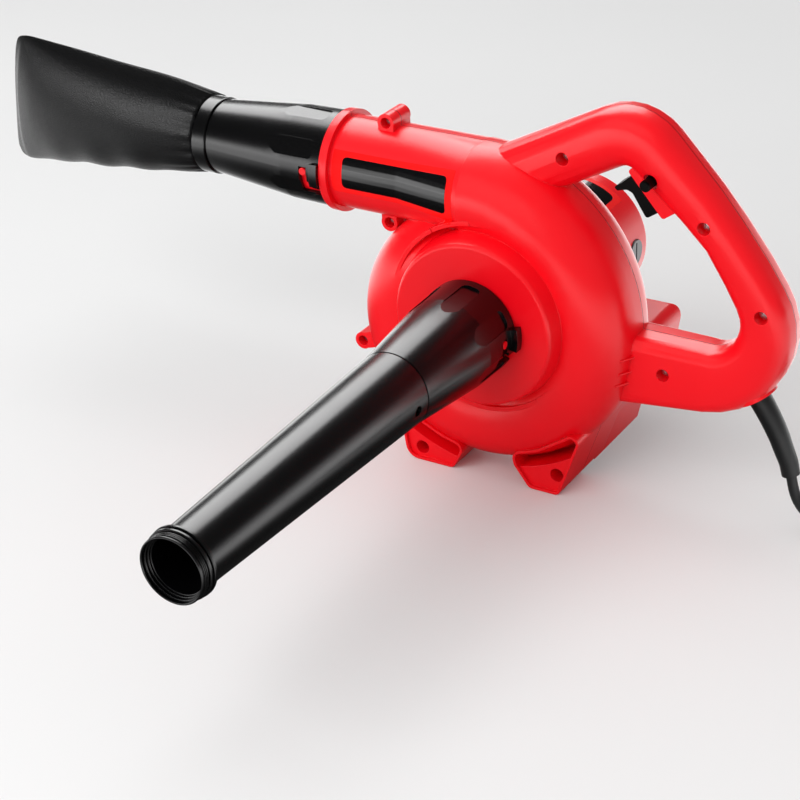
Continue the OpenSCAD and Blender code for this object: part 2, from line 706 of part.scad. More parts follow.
module suction_pipe() place() color(black) at_inlet(pipe_start) difference() {
    rotate_extrude($fn = 96) polygon(concat(
        [[end_spigot_r + 0.2, 0], [adapter_end_r, 0], [pipe_tip_r, pipe_len - 15]],
        // Stepped rings of the mouth
        [for (k = [0:3]) each [[mouth_ring_r - (k == 0 ? 1.2 : k == 1 ? 0 : 0.8), pipe_len - 14 + 2.2 * k],
            [mouth_ring_r - (k == 0 ? 1.2 : k == 1 ? 0 : 0.8), pipe_len - 12.6 + 2.2 * k],
            [mouth_ring_r - 1.6, pipe_len - 12.4 + 2.2 * k], [mouth_ring_r - 1.6, pipe_len - 12 + 2.2 * k]]],
        [[mouth_ring_r - 2, pipe_len - 3], [mouth_ring_r - 2, pipe_len - 0.8], [mouth_ring_r - 2.6, pipe_len],
            [mouth_r + 1.1, pipe_len], [mouth_r + 0.9, pipe_len - 2], [mouth_r, pipe_len - 2.4],
            [mouth_r, pipe_len - 14], [pipe_tip_r - 2.2, pipe_len - 20], [adapter_end_r - 3.4, 28],
            [end_spigot_r + 0.2, 26]]));
    rotate([0, 0, -6]) translate([15, 0, 12]) rotate([0, 90, 0]) cylinder(r = 3.4, h = 20, $fn = 32);
}

module bag_collar() place() color(black) at_outlet(outlet_rim + adapter_len)
    rotate_extrude($fn = 96) polygon([[end_spigot_r + 0.2, 0], [adapter_end_r + 0.9, 0],
        [adapter_end_r + 1.2, 0.6], [adapter_end_r + 1.2, collar_len - 0.6],
        [adapter_end_r + 0.8, collar_len], [end_spigot_r + 0.2, collar_len]]);

// Bag rings: [distance from the collar as a share, half height, half depth]
bag_forms = [[0, adapter_end_r + 1, adapter_end_r + 1], [0.05, 29, 29], [0.16, 33, 31.5],
    [0.3, 36.5, 33], [0.48, bag_h / 2 - 8, 32.5], [0.66, bag_h / 2 - 4.3, 30], [0.82, bag_h / 2 - 1, 24],
    [0.93, bag_h / 2, 15], [0.98, bag_h / 2 - 0.6, 7], [1, bag_h / 2 - 3, 3]];
function bag_rings(thinner, m) = [for (i = [0:len(bag_forms) - 1])
    let(f = bag_forms[i], last = i == len(bag_forms) - 1,
        s = f[0] * bag_len - (thinner > 0 && last ? 6 : 0) + (thinner > 0 && i == 0 ? -1 : 0),
        t = thinner > 0 && i > 7 ? min(thinner, f[2] - 2.2) : thinner)
    [for (j = [0:m - 1]) let(o = oval(f[1] - thinner, max(f[2] - t, 1.2), 2.1, 360 * j / m))
        [-bag_start - s, o[1], outlet_z + 0.5 + o[0]]]];

module dust_bag() place() color("#262626") difference() {
    loft(bag_rings(0, 24));
    loft(bag_rings(cloth_t, 24));
    translate([-bag_start - end_spigot_len, 0, outlet_z]) rotate([0, 90, 0])
        cylinder(r = end_spigot_r + 0.3, h = end_spigot_len + 2);
}

// ---------------------------------------------------------------- fan and rotor

hub_y = -10;

// One curved blade from the eye to the rim
module blade(h) {
    bend = 58;
    linear_extrude(h) intersection() {
        translate([30, -44]) difference() {
            circle(r = bend);
            circle(r = bend - 1.6);
        }
        difference() {
            circle(r = impeller_r - 0.6);
            circle(r = 24);
        }
        square(impeller_r + 20);
    }
}

module impeller() place() color("#c4c7ca") on_fan_axis() difference() {
    union() {
        translate([0, 0, hub_y]) cylinder(r = impeller_r, h = 1.5);
        translate([0, 0, hub_y - 8]) cylinder(r = 11, h = 9);
        // Front shroud round the eye
        rotate_extrude($fn = 96) polygon([[27.8, -48], [29.3, -48], [33.5, -42], [impeller_r, -28.4],
            [impeller_r, -27], [32.6, -40.6]]);
        intersection() {
            translate([0, 0, -48]) for (k = [0:blade_count - 1]) rotate([0, 0, 360 / blade_count * k])
                blade(48 + hub_y + 2);
            rotate_extrude($fn = 96) polygon([[20, -46], [28.4, -46], [32.9, -41.2],
                [impeller_r + 2, -26.5], [impeller_r + 2, hub_y + 0.5], [20, hub_y + 0.5]]);
        }
    }
    translate([0, 0, -60]) cylinder(r = shaft_r - 1 + 0.02, h = 80);
}

module impeller_washer() place() color(steel) on_fan_axis(hub_y - 8 - 1.5) difference() {
    cylinder(r = 9, h = 1.5);
    translate([0, 0, -1]) cylinder(r = shaft_r - 1 + 0.1, h = 4);
}

module impeller_nut() place() color(steel) on_fan_axis(hub_y - 8 - 1.5 - 6) difference() {
    cylinder(r = 7.5, h = 6, $fn = 6);
    translate([0, 0, -1]) cylinder(r = shaft_r - 1 + 0.02, h = 8);
}

bracket_r = 62.5;
front_bearing_y = 5;
brush_y = 98;
rear_bearing_y = barrel_back - 13;
stack_y = 42;

module motor_shaft() place() color(steel) on_fan_axis() {
    translate([0, 0, hub_y - 17.5]) cylinder(r = shaft_r - 1, h = 20);
    translate([0, 0, hub_y + 1.5]) cylinder(r = shaft_r - 0.02, h = 24.5);
    translate([0, 0, 15]) cylinder(r = shaft_r + 1, h = rear_bearing_y - 0.5 - 15);
    translate([0, 0, rear_bearing_y - 1]) cylinder(r = 3.98, h = 8);
}

module cooling_fan() place() color("#2b2b2e") on_fan_axis(19) difference() {
    union() {
        cylinder(r = 34, h = 1.6);
        cylinder(r = 10, h = 10);
        for (k = [0:10]) rotate([0, 0, 360 / 11 * k]) translate([12, -0.9, 0]) cube([21, 1.8, 9]);
        for (k = [0:10]) rotate([0, 0, 360 / 11 * k]) translate([9, -0.9, 0]) cube([4, 1.8, 5]);
    }
    translate([0, 0, -1]) cylinder(r = shaft_r + 1.02, h = 20);
}

slot_count = 12;

module armature_core() place() color("#70757a") on_fan_axis(stack_y) difference() {
    cylinder(r = armature_r, h = stack_len);
    translate([0, 0, -1]) cylinder(r = shaft_r + 1.02, h = stack_len + 2);
    for (k = [0:slot_count - 1]) rotate([0, 0, 360 / slot_count * k]) {
        translate([armature_r - 5.4, 0, -1]) cylinder(r = 2.3, h = stack_len + 2);
        translate([armature_r - 5, -0.8, -1]) cube([6, 1.6, stack_len + 2]);
    }
}

module armature_windings() place() color(copper) on_fan_axis(stack_y) {
    for (k = [0:slot_count - 1]) rotate([0, 0, 360 / slot_count * k])
        translate([armature_r - 5.4, 0, -1]) cylinder(r = 2.2, h = stack_len + 2);
    for (s = [0, 1]) translate([0, 0, s * stack_len]) mirror([0, 0, 1 - s]) translate([0, 0, 0.1])
        rotate_extrude() polygon([[shaft_r + 1.3, 0], [armature_r - 3, 0], [armature_r - 2.4, 3],
            [armature_r - 5, 7], [11, 8.5], [shaft_r + 1.3, 8]]);
}

commutator_y = 91.2;
commutator_r = 11;
module commutator() place() color(copper) on_fan_axis(commutator_y) difference() {
    union() {
        cylinder(r = commutator_r, h = 12.4);
        cylinder(r = commutator_r + 2, h = 2.4);
    }
    translate([0, 0, -1]) cylinder(r = shaft_r + 1.02, h = 20);
    for (k = [0:23]) rotate([0, 0, 15 * k]) translate([commutator_r - 1, -0.25, 2.6]) cube([3, 0.5, 12]);
}

module bearing(outer, inner, w) {
    difference() {
        cylinder(r = outer, h = w);
        translate([0, 0, -1]) cylinder(r = inner, h = w + 2);
        for (z = [-1, w - 0.5]) translate([0, 0, z]) ring(outer - 2.5, inner + 2, 0, 1.5);
    }
}

module bearing_bracket() place() color("#9a9da0") on_fan_axis() difference() {
    union() {
        translate([0, 0, 1]) cylinder(r = bracket_r, h = 3);
        translate([0, 0, 1]) cylinder(r = 17, h = 13);
        for (k = [0:5]) rotate([0, 0, 60 * k]) translate([15, -1.2, 3.5]) cube([42, 2.4, 4]);
    }
    translate([0, 0, -1]) cylinder(r = 8, h = 20);
    translate([0, 0, front_bearing_y]) cylinder(r = 13.02, h = 20);
    for (k = [0:5]) rotate([0, 0, 30 + 60 * k]) translate([0, 0, -1]) rotate_extrude(angle = 30)
        translate([24, 0]) square([20, 6]);
    for (a = [45:90:315]) rotate([0, 0, a]) translate([56, 0, -1]) cylinder(r = 1.8, h = 8);
}

module front_bearing() place() color(steel) on_fan_axis(front_bearing_y) bearing(13, shaft_r, 8);
module rear_bearing() place() color(steel) on_fan_axis(rear_bearing_y) bearing(11, 4, 7);

// Two-pole stator: bore, side windows for the coils, and pole faces above and below
coil_in_r = armature_r + 1.8;
coil_out_r = coil_in_r + 7.4;
module stator_core() place() color("#70757a") on_fan_axis(stack_y) difference() {
    cylinder(r = stator_r - 0.05, h = stack_len);
    translate([0, 0, -1]) cylinder(r = armature_r + 0.9, h = stack_len + 2);
    for (a = [-40, 140]) rotate([0, 0, a]) rotate_extrude(angle = 80) translate([armature_r - 3, -1])
        square([coil_out_r + 0.5 - armature_r + 3, stack_len + 2]);
}

module field_coils() place() color(copper) on_fan_axis(stack_y) for (a = [20, 200]) rotate([0, 0, a])
    difference() {
        rotate_extrude(angle = 140) translate([coil_in_r, -7]) square([7.4, stack_len + 14]);
        rotate([0, 0, 18]) rotate_extrude(angle = 104) translate([coil_in_r - 1, -1])
            square([9.4, stack_len + 2]);
    }

module brush_holders() place() color("#c8a040") for (s = [-1, 1])
    translate([s * (commutator_r + 2.5), brush_y, fan_h]) rotate([0, s * 90, 0]) difference() {
        cylinder(r = 6, h = 26);
        translate([-3.1, -4.1, -1]) cube([6.2, 8.2, 40]);
    }

module carbon_brushes() place() color("#303033") for (s = [-1, 1])
    translate([s * (commutator_r + 0.15), brush_y, fan_h]) rotate([0, s * 90, 0])
        translate([-3, -4, 0]) cube([6, 8, 15]);

module brush_springs() place() color(steel) for (s = [-1, 1])
    translate([s * (commutator_r + 15.3), brush_y, fan_h]) rotate([0, s * 90, 0])
        coil_spring(2.4, 0.35, 13.2, 5);

cap_seat = barrel_in;
module brush_caps() place() color("#4a4a4d") for (s = [-1, 1])
    translate([s * cap_seat, brush_y, fan_h]) rotate([0, s * 90, 0]) difference() {
        union() {
            translate([0, 0, -3.6]) cylinder(r = 5.9, h = 4);
            translate([0, 0, 0.1]) cylinder(r = 9.1, h = barrel_r - cap_seat + 0.4);
        }
        translate([-7.4, -0.8, barrel_r - cap_seat - 0.7]) cube([14.8, 1.6, 3]);
    }

// ---------------------------------------------------------------- switch, trigger and lock button

switch_face = 2.2;
switch_w = 7.9;
pad_t = 0.9;
tab_top = 10.9;
tab_t = 2;
plunger_start = -2;
stem_r = 1.8;

module switch_body() place() color(black) at_trigger() difference() {
    union() {
        translate([-19, -11.5, -switch_w]) cube([36, 11.5 + switch_face, 2 * switch_w]);
        // Lip that the lock button's stem runs in
        translate([lock_place[0] - 4.5, switch_face - 1, switch_w - pad_t])
            cube([9, lock_place[1] + 2.6 - switch_face + 1, pad_t]);
    }
    translate([0, plunger_start - trigger_travel - 0.6, 0]) rotate([-90, 0, 0]) cylinder(r = 2.6, h = 20);
    translate([lock_place[0], lock_place[1], 0]) {
        cylinder(r = stem_r + 0.1, h = 20);
        translate([-3, -3, 3]) cube([6, 6, switch_w - pad_t - 3]);
    }
}

module trigger() place() color(black) at_trigger() difference() {
    union() {
        translate([0, 0, -trigger_w / 2]) linear_extrude(trigger_w) polygon(rounded([
            [13.2, tab_top - 0.5, 0], [13.2, 24, 1.5], [12, 34, 2], [-6, 31.4, 3], [-9.6, 33.2, 3],
            [-12.6, 39.4, 1.2], [-15.7, 40, 1.2], [-15.2, 34, 3], [-15.2, tab_top - 0.5, 0]]));
        // Tabs that keep the trigger in its slot
        translate([-18.6, tab_top - tab_t, -trigger_w / 2]) cube([33.8, tab_t, trigger_w]);
        // Plunger that runs in the switch
        translate([0, plunger_start, 0]) rotate([-90, 0, 0]) cylinder(r = 2.5, h = tab_top - plunger_start - 1);
    }
    // Notch that the lock button's stem drops into
    translate([lock_place[0] - 3.1, 0, 3]) cube([6.2, lock_place[1] + trigger_travel + 3.1, 10]);
}

// Compression spring: one unbroken tube from z = 0 to z = h
module coil_spring(r, wire, h, turns, m = 6, n = 8) {
    steps = turns * n;
    pts = [for (k = [0:steps]) [r * cos(360 * k / n), r * sin(360 * k / n),
        wire + (h - 2 * wire) * k / steps]];
    loft(tube_rings(pts, [for (p = pts) wire], m));
}

module trigger_spring() place() color(steel) at_trigger() translate([0, switch_face + 0.1, 0])
    rotate([-90, 0, 0]) coil_spring(3.6, 0.35, tab_top - tab_t - switch_face - 0.2, 3);

lock_out = handle_w / 2 + 7.5;
lock_shoulder = 12.2;

module lock_button() place() color(black) at_lock() {
    translate([0, 0, lock_shoulder]) cylinder(r = lock_r, h = lock_out - lock_shoulder - 1);
    translate([0, 0, lock_out - 1 - eps]) cylinder(r1 = lock_r, r2 = lock_r - 0.8, h = 1);
    translate([0, 0, switch_w - pad_t - 0.9]) cylinder(r = stem_r, h = lock_shoulder - switch_w + pad_t + 1);
    translate([0, 0, switch_w - pad_t - 1]) cylinder(r = stem_r + 0.8, h = 0.9);
}

module lock_spring() place() color(steel) at_lock() translate([0, 0, switch_w + 0.05])
    coil_spring(2.7, 0.25, lock_shoulder - switch_w - 0.1, 3);

// ---------------------------------------------------------------- screws

// Pan head screw with a cross recess; local z points out of the head
module screw(shank, head, length) {
    translate([0, 0, -length]) cylinder(r = shank, h = length + eps);
    difference() {
        cylinder(r = head, h = 2);
        for (a = [0, 90]) rotate([0, 0, a]) translate([-head * 0.6, -0.45, 1]) cube([head * 1.2, 0.9, 2]);
    }
}

module handle_screws() place() color(steel) for (p = handle_screw_places)
    translate([p[0], -9, p[1]]) rotate([90, 0, 0]) screw(screw_r - 0.45, 3.6, 18);

module seam_screws() place() color(steel) for (p = seam_screw_places)
    translate([p[0], lug_sink - p[2], p[1]]) rotate([90, 0, 0]) screw(screw_r - 0.45, 3, p[2] + 2);

module foot_screws() place() color(steel) for (p = foot_screw_places)
    translate([p[0], -14, p[1]]) rotate([90, 0, 0]) screw(screw_r - 0.45, 3.6, 30);

module cover_screws() place() color(steel) on_fan_axis() for (a = [45:90:315]) rotate([0, 0, a])
    translate([38.5, 0, barrel_back - 2.5]) screw(1.25, 2.8, 14);

module bracket_screws() place() color(steel) on_fan_axis() for (a = [45:90:315]) rotate([0, 0, a])
    translate([56, 0, 1]) mirror([0, 0, 1]) screw(1.25, 2.8, 12);

// ---------------------------------------------------------------- mains lead

relief_r = 7.6;
relief_points = concat([for (p = [[-38.4, -28], [-35, -33], [-31.6, -38], [-27.4, -44.6],
        [-23.4, -51.6], [-19.6, -59.2], [-16.2, -67.4]]) [grip_x + p[0], 0, fan_h + p[1]]],
    [lead_points[0] - 0.75 * (lead_points[1] - lead_points[0]), lead_points[0]]);
relief_start = relief_points[1];
relief_turn = atan2(relief_points[1][2] - relief_points[2][2], relief_points[2][0] - relief_points[1][0]);

// Local z points out of the housing along the lead
module at_relief() {
    translate(relief_start) rotate([0, 90 + relief_turn, 0]) children();
}

module relief_socket() {
    at_relief() translate([0, 0, -14]) rotate([0, 0, 50]) cylinder(r = 13.4, h = 14);
}

module relief_hole() {
    at_relief() translate([0, 0, -16]) rotate([0, 0, 50]) {
        cylinder(r = relief_r + fit_gap, h = 20);
        cylinder(r = 10.9, h = 8);
    }
}

module strain_relief() place() color(black) {
    at_relief() translate([0, 0, -12]) cylinder(r = 10.6, h = 3.6);
    at_relief() translate([0, 0, -12]) cylinder(r = relief_r, h = 12.5);
    loft(tube_rings(relief_points, [relief_r, relief_r, 7.5, 7.3, 7.1, 6.8, 6.5, 6.2, 6], 24));
}

// Clamp across the inner lead; local x across the lead, y to the rear
clamp_place = [grip_x - 44, fan_h - 8.6];
clamp_reach = 8;
clamp_back = cord_d / 2 + 0.1;

module at_clamp() {
    translate([clamp_place[0], 0, clamp_place[1]]) children();
}

module cord_clamp() place() color(black) at_clamp() difference() {
    translate([-clamp_reach - 3.4, -clamp_back - 3.5, -3.5]) cube([2 * clamp_reach + 6.8, 3.5, 7]);
    for (s = [-1, 1]) translate([s * clamp_reach, -clamp_back - 4, 0]) rotate([-90, 0, 0]) cylinder(r = 1.5, h = 6);
}

module clamp_screws() place() color(steel) for (s = [-1, 1]) at_clamp()
    translate([s * clamp_reach, -clamp_back - 3.5, 0]) rotate([90, 0, 0]) screw(1.15, 2.6, 10);

module inner_lead() place() color(black)
    loft(tube_rings(inner_lead_points, [for (p = inner_lead_points) cord_d / 2], 8));

module cord() place() color(black)
    loft(tube_rings(lead_points, [for (p = lead_points) cord_d / 2], 8));

// Coil: turns that spiral in along the floor and out again on top
coil_centre = [grip_x + 83, 56];
coil_turns = 3;
coil_out = 46;
coil_pitch = cord_d + 0.6;
coil_lift = lead_points[len(lead_points) - 1][2];
loop_steps = 24;
coil_in = coil_out - coil_pitch * coil_turns;
function coil_point(k) = let(n = coil_turns * loop_steps, half_turn = loop_steps / 2,
        s = k <= n ? 0 : k <= n + half_turn ? (k - n) / half_turn : 1,
        r = k <= n ? coil_out - coil_pitch * k / loop_steps
            : k <= n + half_turn ? coil_in
            : coil_in + coil_pitch * (k - n - half_turn) / loop_steps,
        q = -90 + 360 * k / loop_steps)
    [coil_centre[0] + r * cos(q), coil_centre[1] + r * sin(q), coil_lift + coil_pitch * s];
coil_steps = 2 * coil_turns * loop_steps + loop_steps / 2;
coil_points = [for (k = [0:coil_steps]) coil_point(k)];
tail_len = 34;
coil_path = concat([coil_points[0] - [cord_d, 0, 0]], coil_points,
    [coil_points[coil_steps] - [cord_d, 0, 0], coil_points[coil_steps] - [tail_len, 0, 0]]);

// Least gap of the coil to itself, measured between the path's points more than half a turn apart
coil_gap = min([for (i = [0:4:len(coil_path) - 1]) each [for (j = [0:len(coil_path) - 1])
    if (abs(i - j) > loop_steps / 2) norm(coil_path[i] - coil_path[j])]]) - cord_d;
echo(coil_gap = coil_gap);

module cord_coil() place() color(black)
    loft(tube_rings(coil_path, [for (p = coil_path) cord_d / 2], 6));

// Strap round all the turns
module coil_tie() place() color("#303030") {
    strap = 1;
    inside = cord_d / 2 + 0.3;
    middle = (coil_out + coil_in) / 2;
    half_span = (coil_out - coil_in) / 2 + inside;
    top = coil_lift + coil_pitch + inside;
    translate([coil_centre[0] + middle, coil_centre[1] + 3, 0]) rotate([90, 0, 0]) linear_extrude(6)
        difference() {
            translate([-half_span - strap, 0]) square([2 * (half_span + strap), top + strap]);
            translate([-half_span, strap]) square([2 * half_span, top - strap]);
        }
}

// Moulded plug on the lead's end; local z points along the pins
plug_start = coil_path[len(coil_path) - 1];
module at_plug() {
    translate(plug_start) rotate([0, -90, 0]) children();
}

plug_w = 35;
plug_h = 2 * plug_start[2] - 0.2;
module plug_body() place() color(black) at_plug() {
    cylinder(r1 = cord_d / 2 + 1.2, r2 = cord_d / 2 + 3, h = 14);
    translate([0, 0, 14 - eps]) linear_extrude(30) polygon(rounded([[-plug_h / 2, -plug_w / 2, 7],
        [plug_h / 2, -plug_w / 2, 7], [plug_h / 2, plug_w / 2, 7], [-plug_h / 2, plug_w / 2, 7]]));
}

module plug_pins() place() color(steel) at_plug() for (s = [-1, 1]) translate([0, s * 9.5, 44]) {
    cylinder(r = 2.4, h = 17.5);
    translate([0, 0, 17.5 - eps]) cylinder(r1 = 2.4, r2 = 1.4, h = 1.5);
}

front_housing();
rear_housing();
motor_cover();
inlet_adapter();
suction_pipe();
outlet_adapter();
bag_collar();
dust_bag();
impeller();
impeller_washer();
impeller_nut();
motor_shaft();
cooling_fan();
armature_core();
armature_windings();
commutator();
bearing_bracket();
front_bearing();
rear_bearing();
stator_core();
field_coils();
brush_holders();
carbon_brushes();
brush_springs();
brush_caps();
switch_body();
trigger();
trigger_spring();
lock_button();
lock_spring();
cord_clamp();
handle_screws();
seam_screws();
foot_screws();
cover_screws();
bracket_screws();
clamp_screws();
strain_relief();
inner_lead();
cord();
cord_coil();
coil_tie();
plug_body();
plug_pins();
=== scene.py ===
"""Looks of a corded scroll blower with its suction pipe and dust bag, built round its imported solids.

Places given to mm() are millimetres in the blower's own layout: fan axis at x = 0, seam at y = 0,
floor at z = 0.
"""

import json
import math

import bpy
import bmesh
from mathutils import Matrix, Vector

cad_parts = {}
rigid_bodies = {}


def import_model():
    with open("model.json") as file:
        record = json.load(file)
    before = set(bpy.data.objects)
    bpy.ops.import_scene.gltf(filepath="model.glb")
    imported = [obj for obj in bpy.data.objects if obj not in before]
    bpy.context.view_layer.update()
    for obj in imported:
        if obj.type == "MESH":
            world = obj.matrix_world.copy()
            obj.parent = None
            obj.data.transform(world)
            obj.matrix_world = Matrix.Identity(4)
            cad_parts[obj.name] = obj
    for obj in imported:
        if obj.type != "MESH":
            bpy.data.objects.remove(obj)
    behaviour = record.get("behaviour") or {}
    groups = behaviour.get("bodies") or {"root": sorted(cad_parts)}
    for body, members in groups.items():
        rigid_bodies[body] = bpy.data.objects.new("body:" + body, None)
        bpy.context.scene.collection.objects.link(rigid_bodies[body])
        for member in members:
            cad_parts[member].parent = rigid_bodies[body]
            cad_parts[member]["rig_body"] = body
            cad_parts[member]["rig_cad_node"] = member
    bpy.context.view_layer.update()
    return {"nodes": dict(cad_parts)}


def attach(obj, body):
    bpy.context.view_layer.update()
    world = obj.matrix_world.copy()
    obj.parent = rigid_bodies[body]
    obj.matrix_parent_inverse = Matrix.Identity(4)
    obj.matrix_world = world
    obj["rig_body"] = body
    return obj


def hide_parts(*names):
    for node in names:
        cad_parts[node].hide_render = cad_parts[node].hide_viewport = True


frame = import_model()
bpy.ops.object.select_all(action="DESELECT")
nodes = frame["nodes"]

# Where the fan axis and the seam stand in the shared frame
SHIFT = Vector((103.05, 130.65, 0))
# Heights of the fan axis and of the outlet tube's axis over the floor, and that tube's radius
FAN_H = 122.0
OUTLET_Z = 196.9
TUBE_R = 31.5


def mm(x, y, z):
    """A point of the blower's own layout, in metres in the shared frame."""
    return (Vector((x, y, z)) + SHIFT) / 1000


# ---------------------------------------------------------------- camera

# Its turn from the front to the right, its height as an angle and its tilt about the line of sight
AZ, EL, ROLL = math.radians(31.86), math.radians(28.33), math.radians(-2.26)
CAMERA_PLACE = (596.0, -1102.3, 720.2)
back = Vector((math.sin(AZ) * math.cos(EL), -math.cos(AZ) * math.cos(EL), math.sin(EL)))
right0 = Vector((math.cos(AZ), math.sin(AZ), 0))
up0 = back.cross(right0)
right = right0 * math.cos(ROLL) + up0 * math.sin(ROLL)
up = -right0 * math.sin(ROLL) + up0 * math.cos(ROLL)
lens_data = bpy.data.cameras.new("camera")
lens_data.lens = 93.84
lens_data.sensor_width = 36
lens_data.clip_start = 0.05
camera = bpy.data.objects.new("camera", lens_data)
bpy.context.scene.collection.objects.link(camera)
facing = Matrix((right, up, back)).transposed().to_4x4()
camera.matrix_world = Matrix.Translation(mm(*CAMERA_PLACE)) @ facing
bpy.context.scene.camera = camera

# ---------------------------------------------------------------- finishes

# Patterns, in repeats to the metre: a drift of shade 45 mm wide, one of 11 mm on metal, and smears of 17 mm
SHADE_DRIFT, METAL_DRIFT, SMEARS = 22.0, 90.0, 60.0
PLASTIC_IOR = 1.54
# Half width of the painted shade line at the seam, and of the band over which that shade fades out, in metres
SEAM_SHADE_CORE, SEAM_SHADE_FADE = 0.00012, 0.0004


def srgb(code):
    """Linear colour of an sRGB hex value."""
    parts = [int(code[i:i + 2], 16) / 255 for i in (1, 3, 5)]
    return [c / 12.92 if c <= 0.04045 else ((c + 0.055) / 1.055) ** 2.4 for c in parts] + [1.0]


def add(tree, kind, inputs=None, **settings):
    """A node with its settings. inputs maps a socket's name or number to a value or to another node's output."""
    made = tree.nodes.new("ShaderNode" + kind)
    for key, value in settings.items():
        setattr(made, key, value)
    for key, value in (inputs or {}).items():
        if isinstance(value, bpy.types.NodeSocket):
            tree.links.new(value, made.inputs[key])
        else:
            made.inputs[key].default_value = value
    return made


def finish(name):
    """A new material: its node tree and its principled shader."""
    material = bpy.data.materials.new(name)
    material.use_nodes = True
    tree = material.node_tree
    return material, tree, tree.nodes["Principled BSDF"]


def ramp(tree, value, low, high, a, b):
    """Colours from a to b as value runs from low to high."""
    made = add(tree, "ValToRGB", {"Fac": value})
    made.color_ramp.elements[0].position, made.color_ramp.elements[0].color = low, a
    made.color_ramp.elements[1].position, made.color_ramp.elements[1].color = high, b
    return made.outputs["Color"]


def spread(tree, value, a, b):
    """A number from a to b as value runs from 0 to 1."""
    return add(tree, "MapRange", {"Value": value, "To Min": a, "To Max": b}).outputs["Result"]


def moulded(name, colours, rough, grain_mm, depth_mm, edge_mm, specular=0.5, seam=None):
    """Injection-moulded plastic: two close shades, the mould's fine surface and softened edges. With a seam
    colour it also has the parting line where the two halves meet: a shallow groove, and painted shade along it."""
    material, tree, shader = finish(name)
    place = add(tree, "TexCoord").outputs["Object"]
    cloud = add(tree, "TexNoise", {"Vector": place, "Scale": SHADE_DRIFT, "Detail": 2.0}).outputs["Fac"]
    tint = ramp(tree, cloud, 0.3, 0.7, srgb(colours[0]), srgb(colours[1]))
    smear = add(tree, "TexNoise", {"Vector": place, "Scale": SMEARS, "Detail": 4.0}).outputs["Fac"]
    grain = add(tree, "TexNoise", {"Vector": place, "Scale": 1000 / grain_mm, "Detail": 2.0}).outputs["Fac"]
    soft = add(tree, "Bevel", {"Radius": edge_mm / 1000}, samples=6).outputs["Normal"]
    bump = add(tree, "Bump", {"Height": grain, "Strength": 0.35, "Distance": depth_mm / 1000, "Normal": soft})
    if seam:
        # Painted shade: the colour darkens to the seam colour along the parting line, where the halves meet; the bump
        # below is the groove itself
        y = add(tree, "SeparateXYZ", {"Vector": place}).outputs["Y"]
        off = add(tree, "Math", {0: y, 1: SHIFT.y / 1000}, operation="SUBTRACT").outputs[0]
        far = add(tree, "Math", {0: off}, operation="ABSOLUTE").outputs[0]
        line = add(tree, "MapRange", {"Value": far, "From Min": SEAM_SHADE_CORE, "From Max": SEAM_SHADE_FADE}).outputs["Result"]
        tint = add(tree, "Mix", {"Factor": line, 6: srgb(seam), 7: tint}, data_type="RGBA").outputs[2]
        bump = add(tree, "Bump", {"Height": line, "Strength": 0.6, "Distance": 0.0003,
                                  "Normal": bump.outputs["Normal"]})
    tree.links.new(tint, shader.inputs["Base Color"])
    tree.links.new(spread(tree, smear, rough[0], rough[1]), shader.inputs["Roughness"])
    tree.links.new(bump.outputs["Normal"], shader.inputs["Normal"])
    shader.inputs["IOR"].default_value = PLASTIC_IOR
    shader.inputs["Specular IOR Level"].default_value = specular
    return material


def worked_metal(name, colours, rough, grain_mm, stretch=(1, 1, 1), depth_mm=0.01):
    """Bare or plated metal: slight changes of shade and roughness, and the marks of how it was made, drawn
    out along the axes that stretch gives less than 1."""
    material, tree, shader = finish(name)
    place = add(tree, "TexCoord").outputs["Object"]
    drawn = add(tree, "Mapping", {"Vector": place, "Scale": stretch}).outputs["Vector"]
    marks = add(tree, "TexNoise", {"Vector": drawn, "Scale": 1000 / grain_mm, "Detail": 3.0}).outputs["Fac"]
    cloud = add(tree, "TexNoise", {"Vector": place, "Scale": METAL_DRIFT, "Detail": 2.0}).outputs["Fac"]
    tree.links.new(ramp(tree, cloud, 0.3, 0.7, srgb(colours[0]), srgb(colours[1])), shader.inputs["Base Color"])
    tree.links.new(spread(tree, marks, rough[0], rough[1]), shader.inputs["Roughness"])
    soft = add(tree, "Bevel", {"Radius": 0.0002}, samples=4).outputs["Normal"]
    bump = add(tree, "Bump", {"Height": marks, "Strength": 0.4, "Distance": depth_mm / 1000, "Normal": soft})
    tree.links.new(bump.outputs["Normal"], shader.inputs["Normal"])
    shader.inputs["Metallic"].default_value = 1.0
    return material


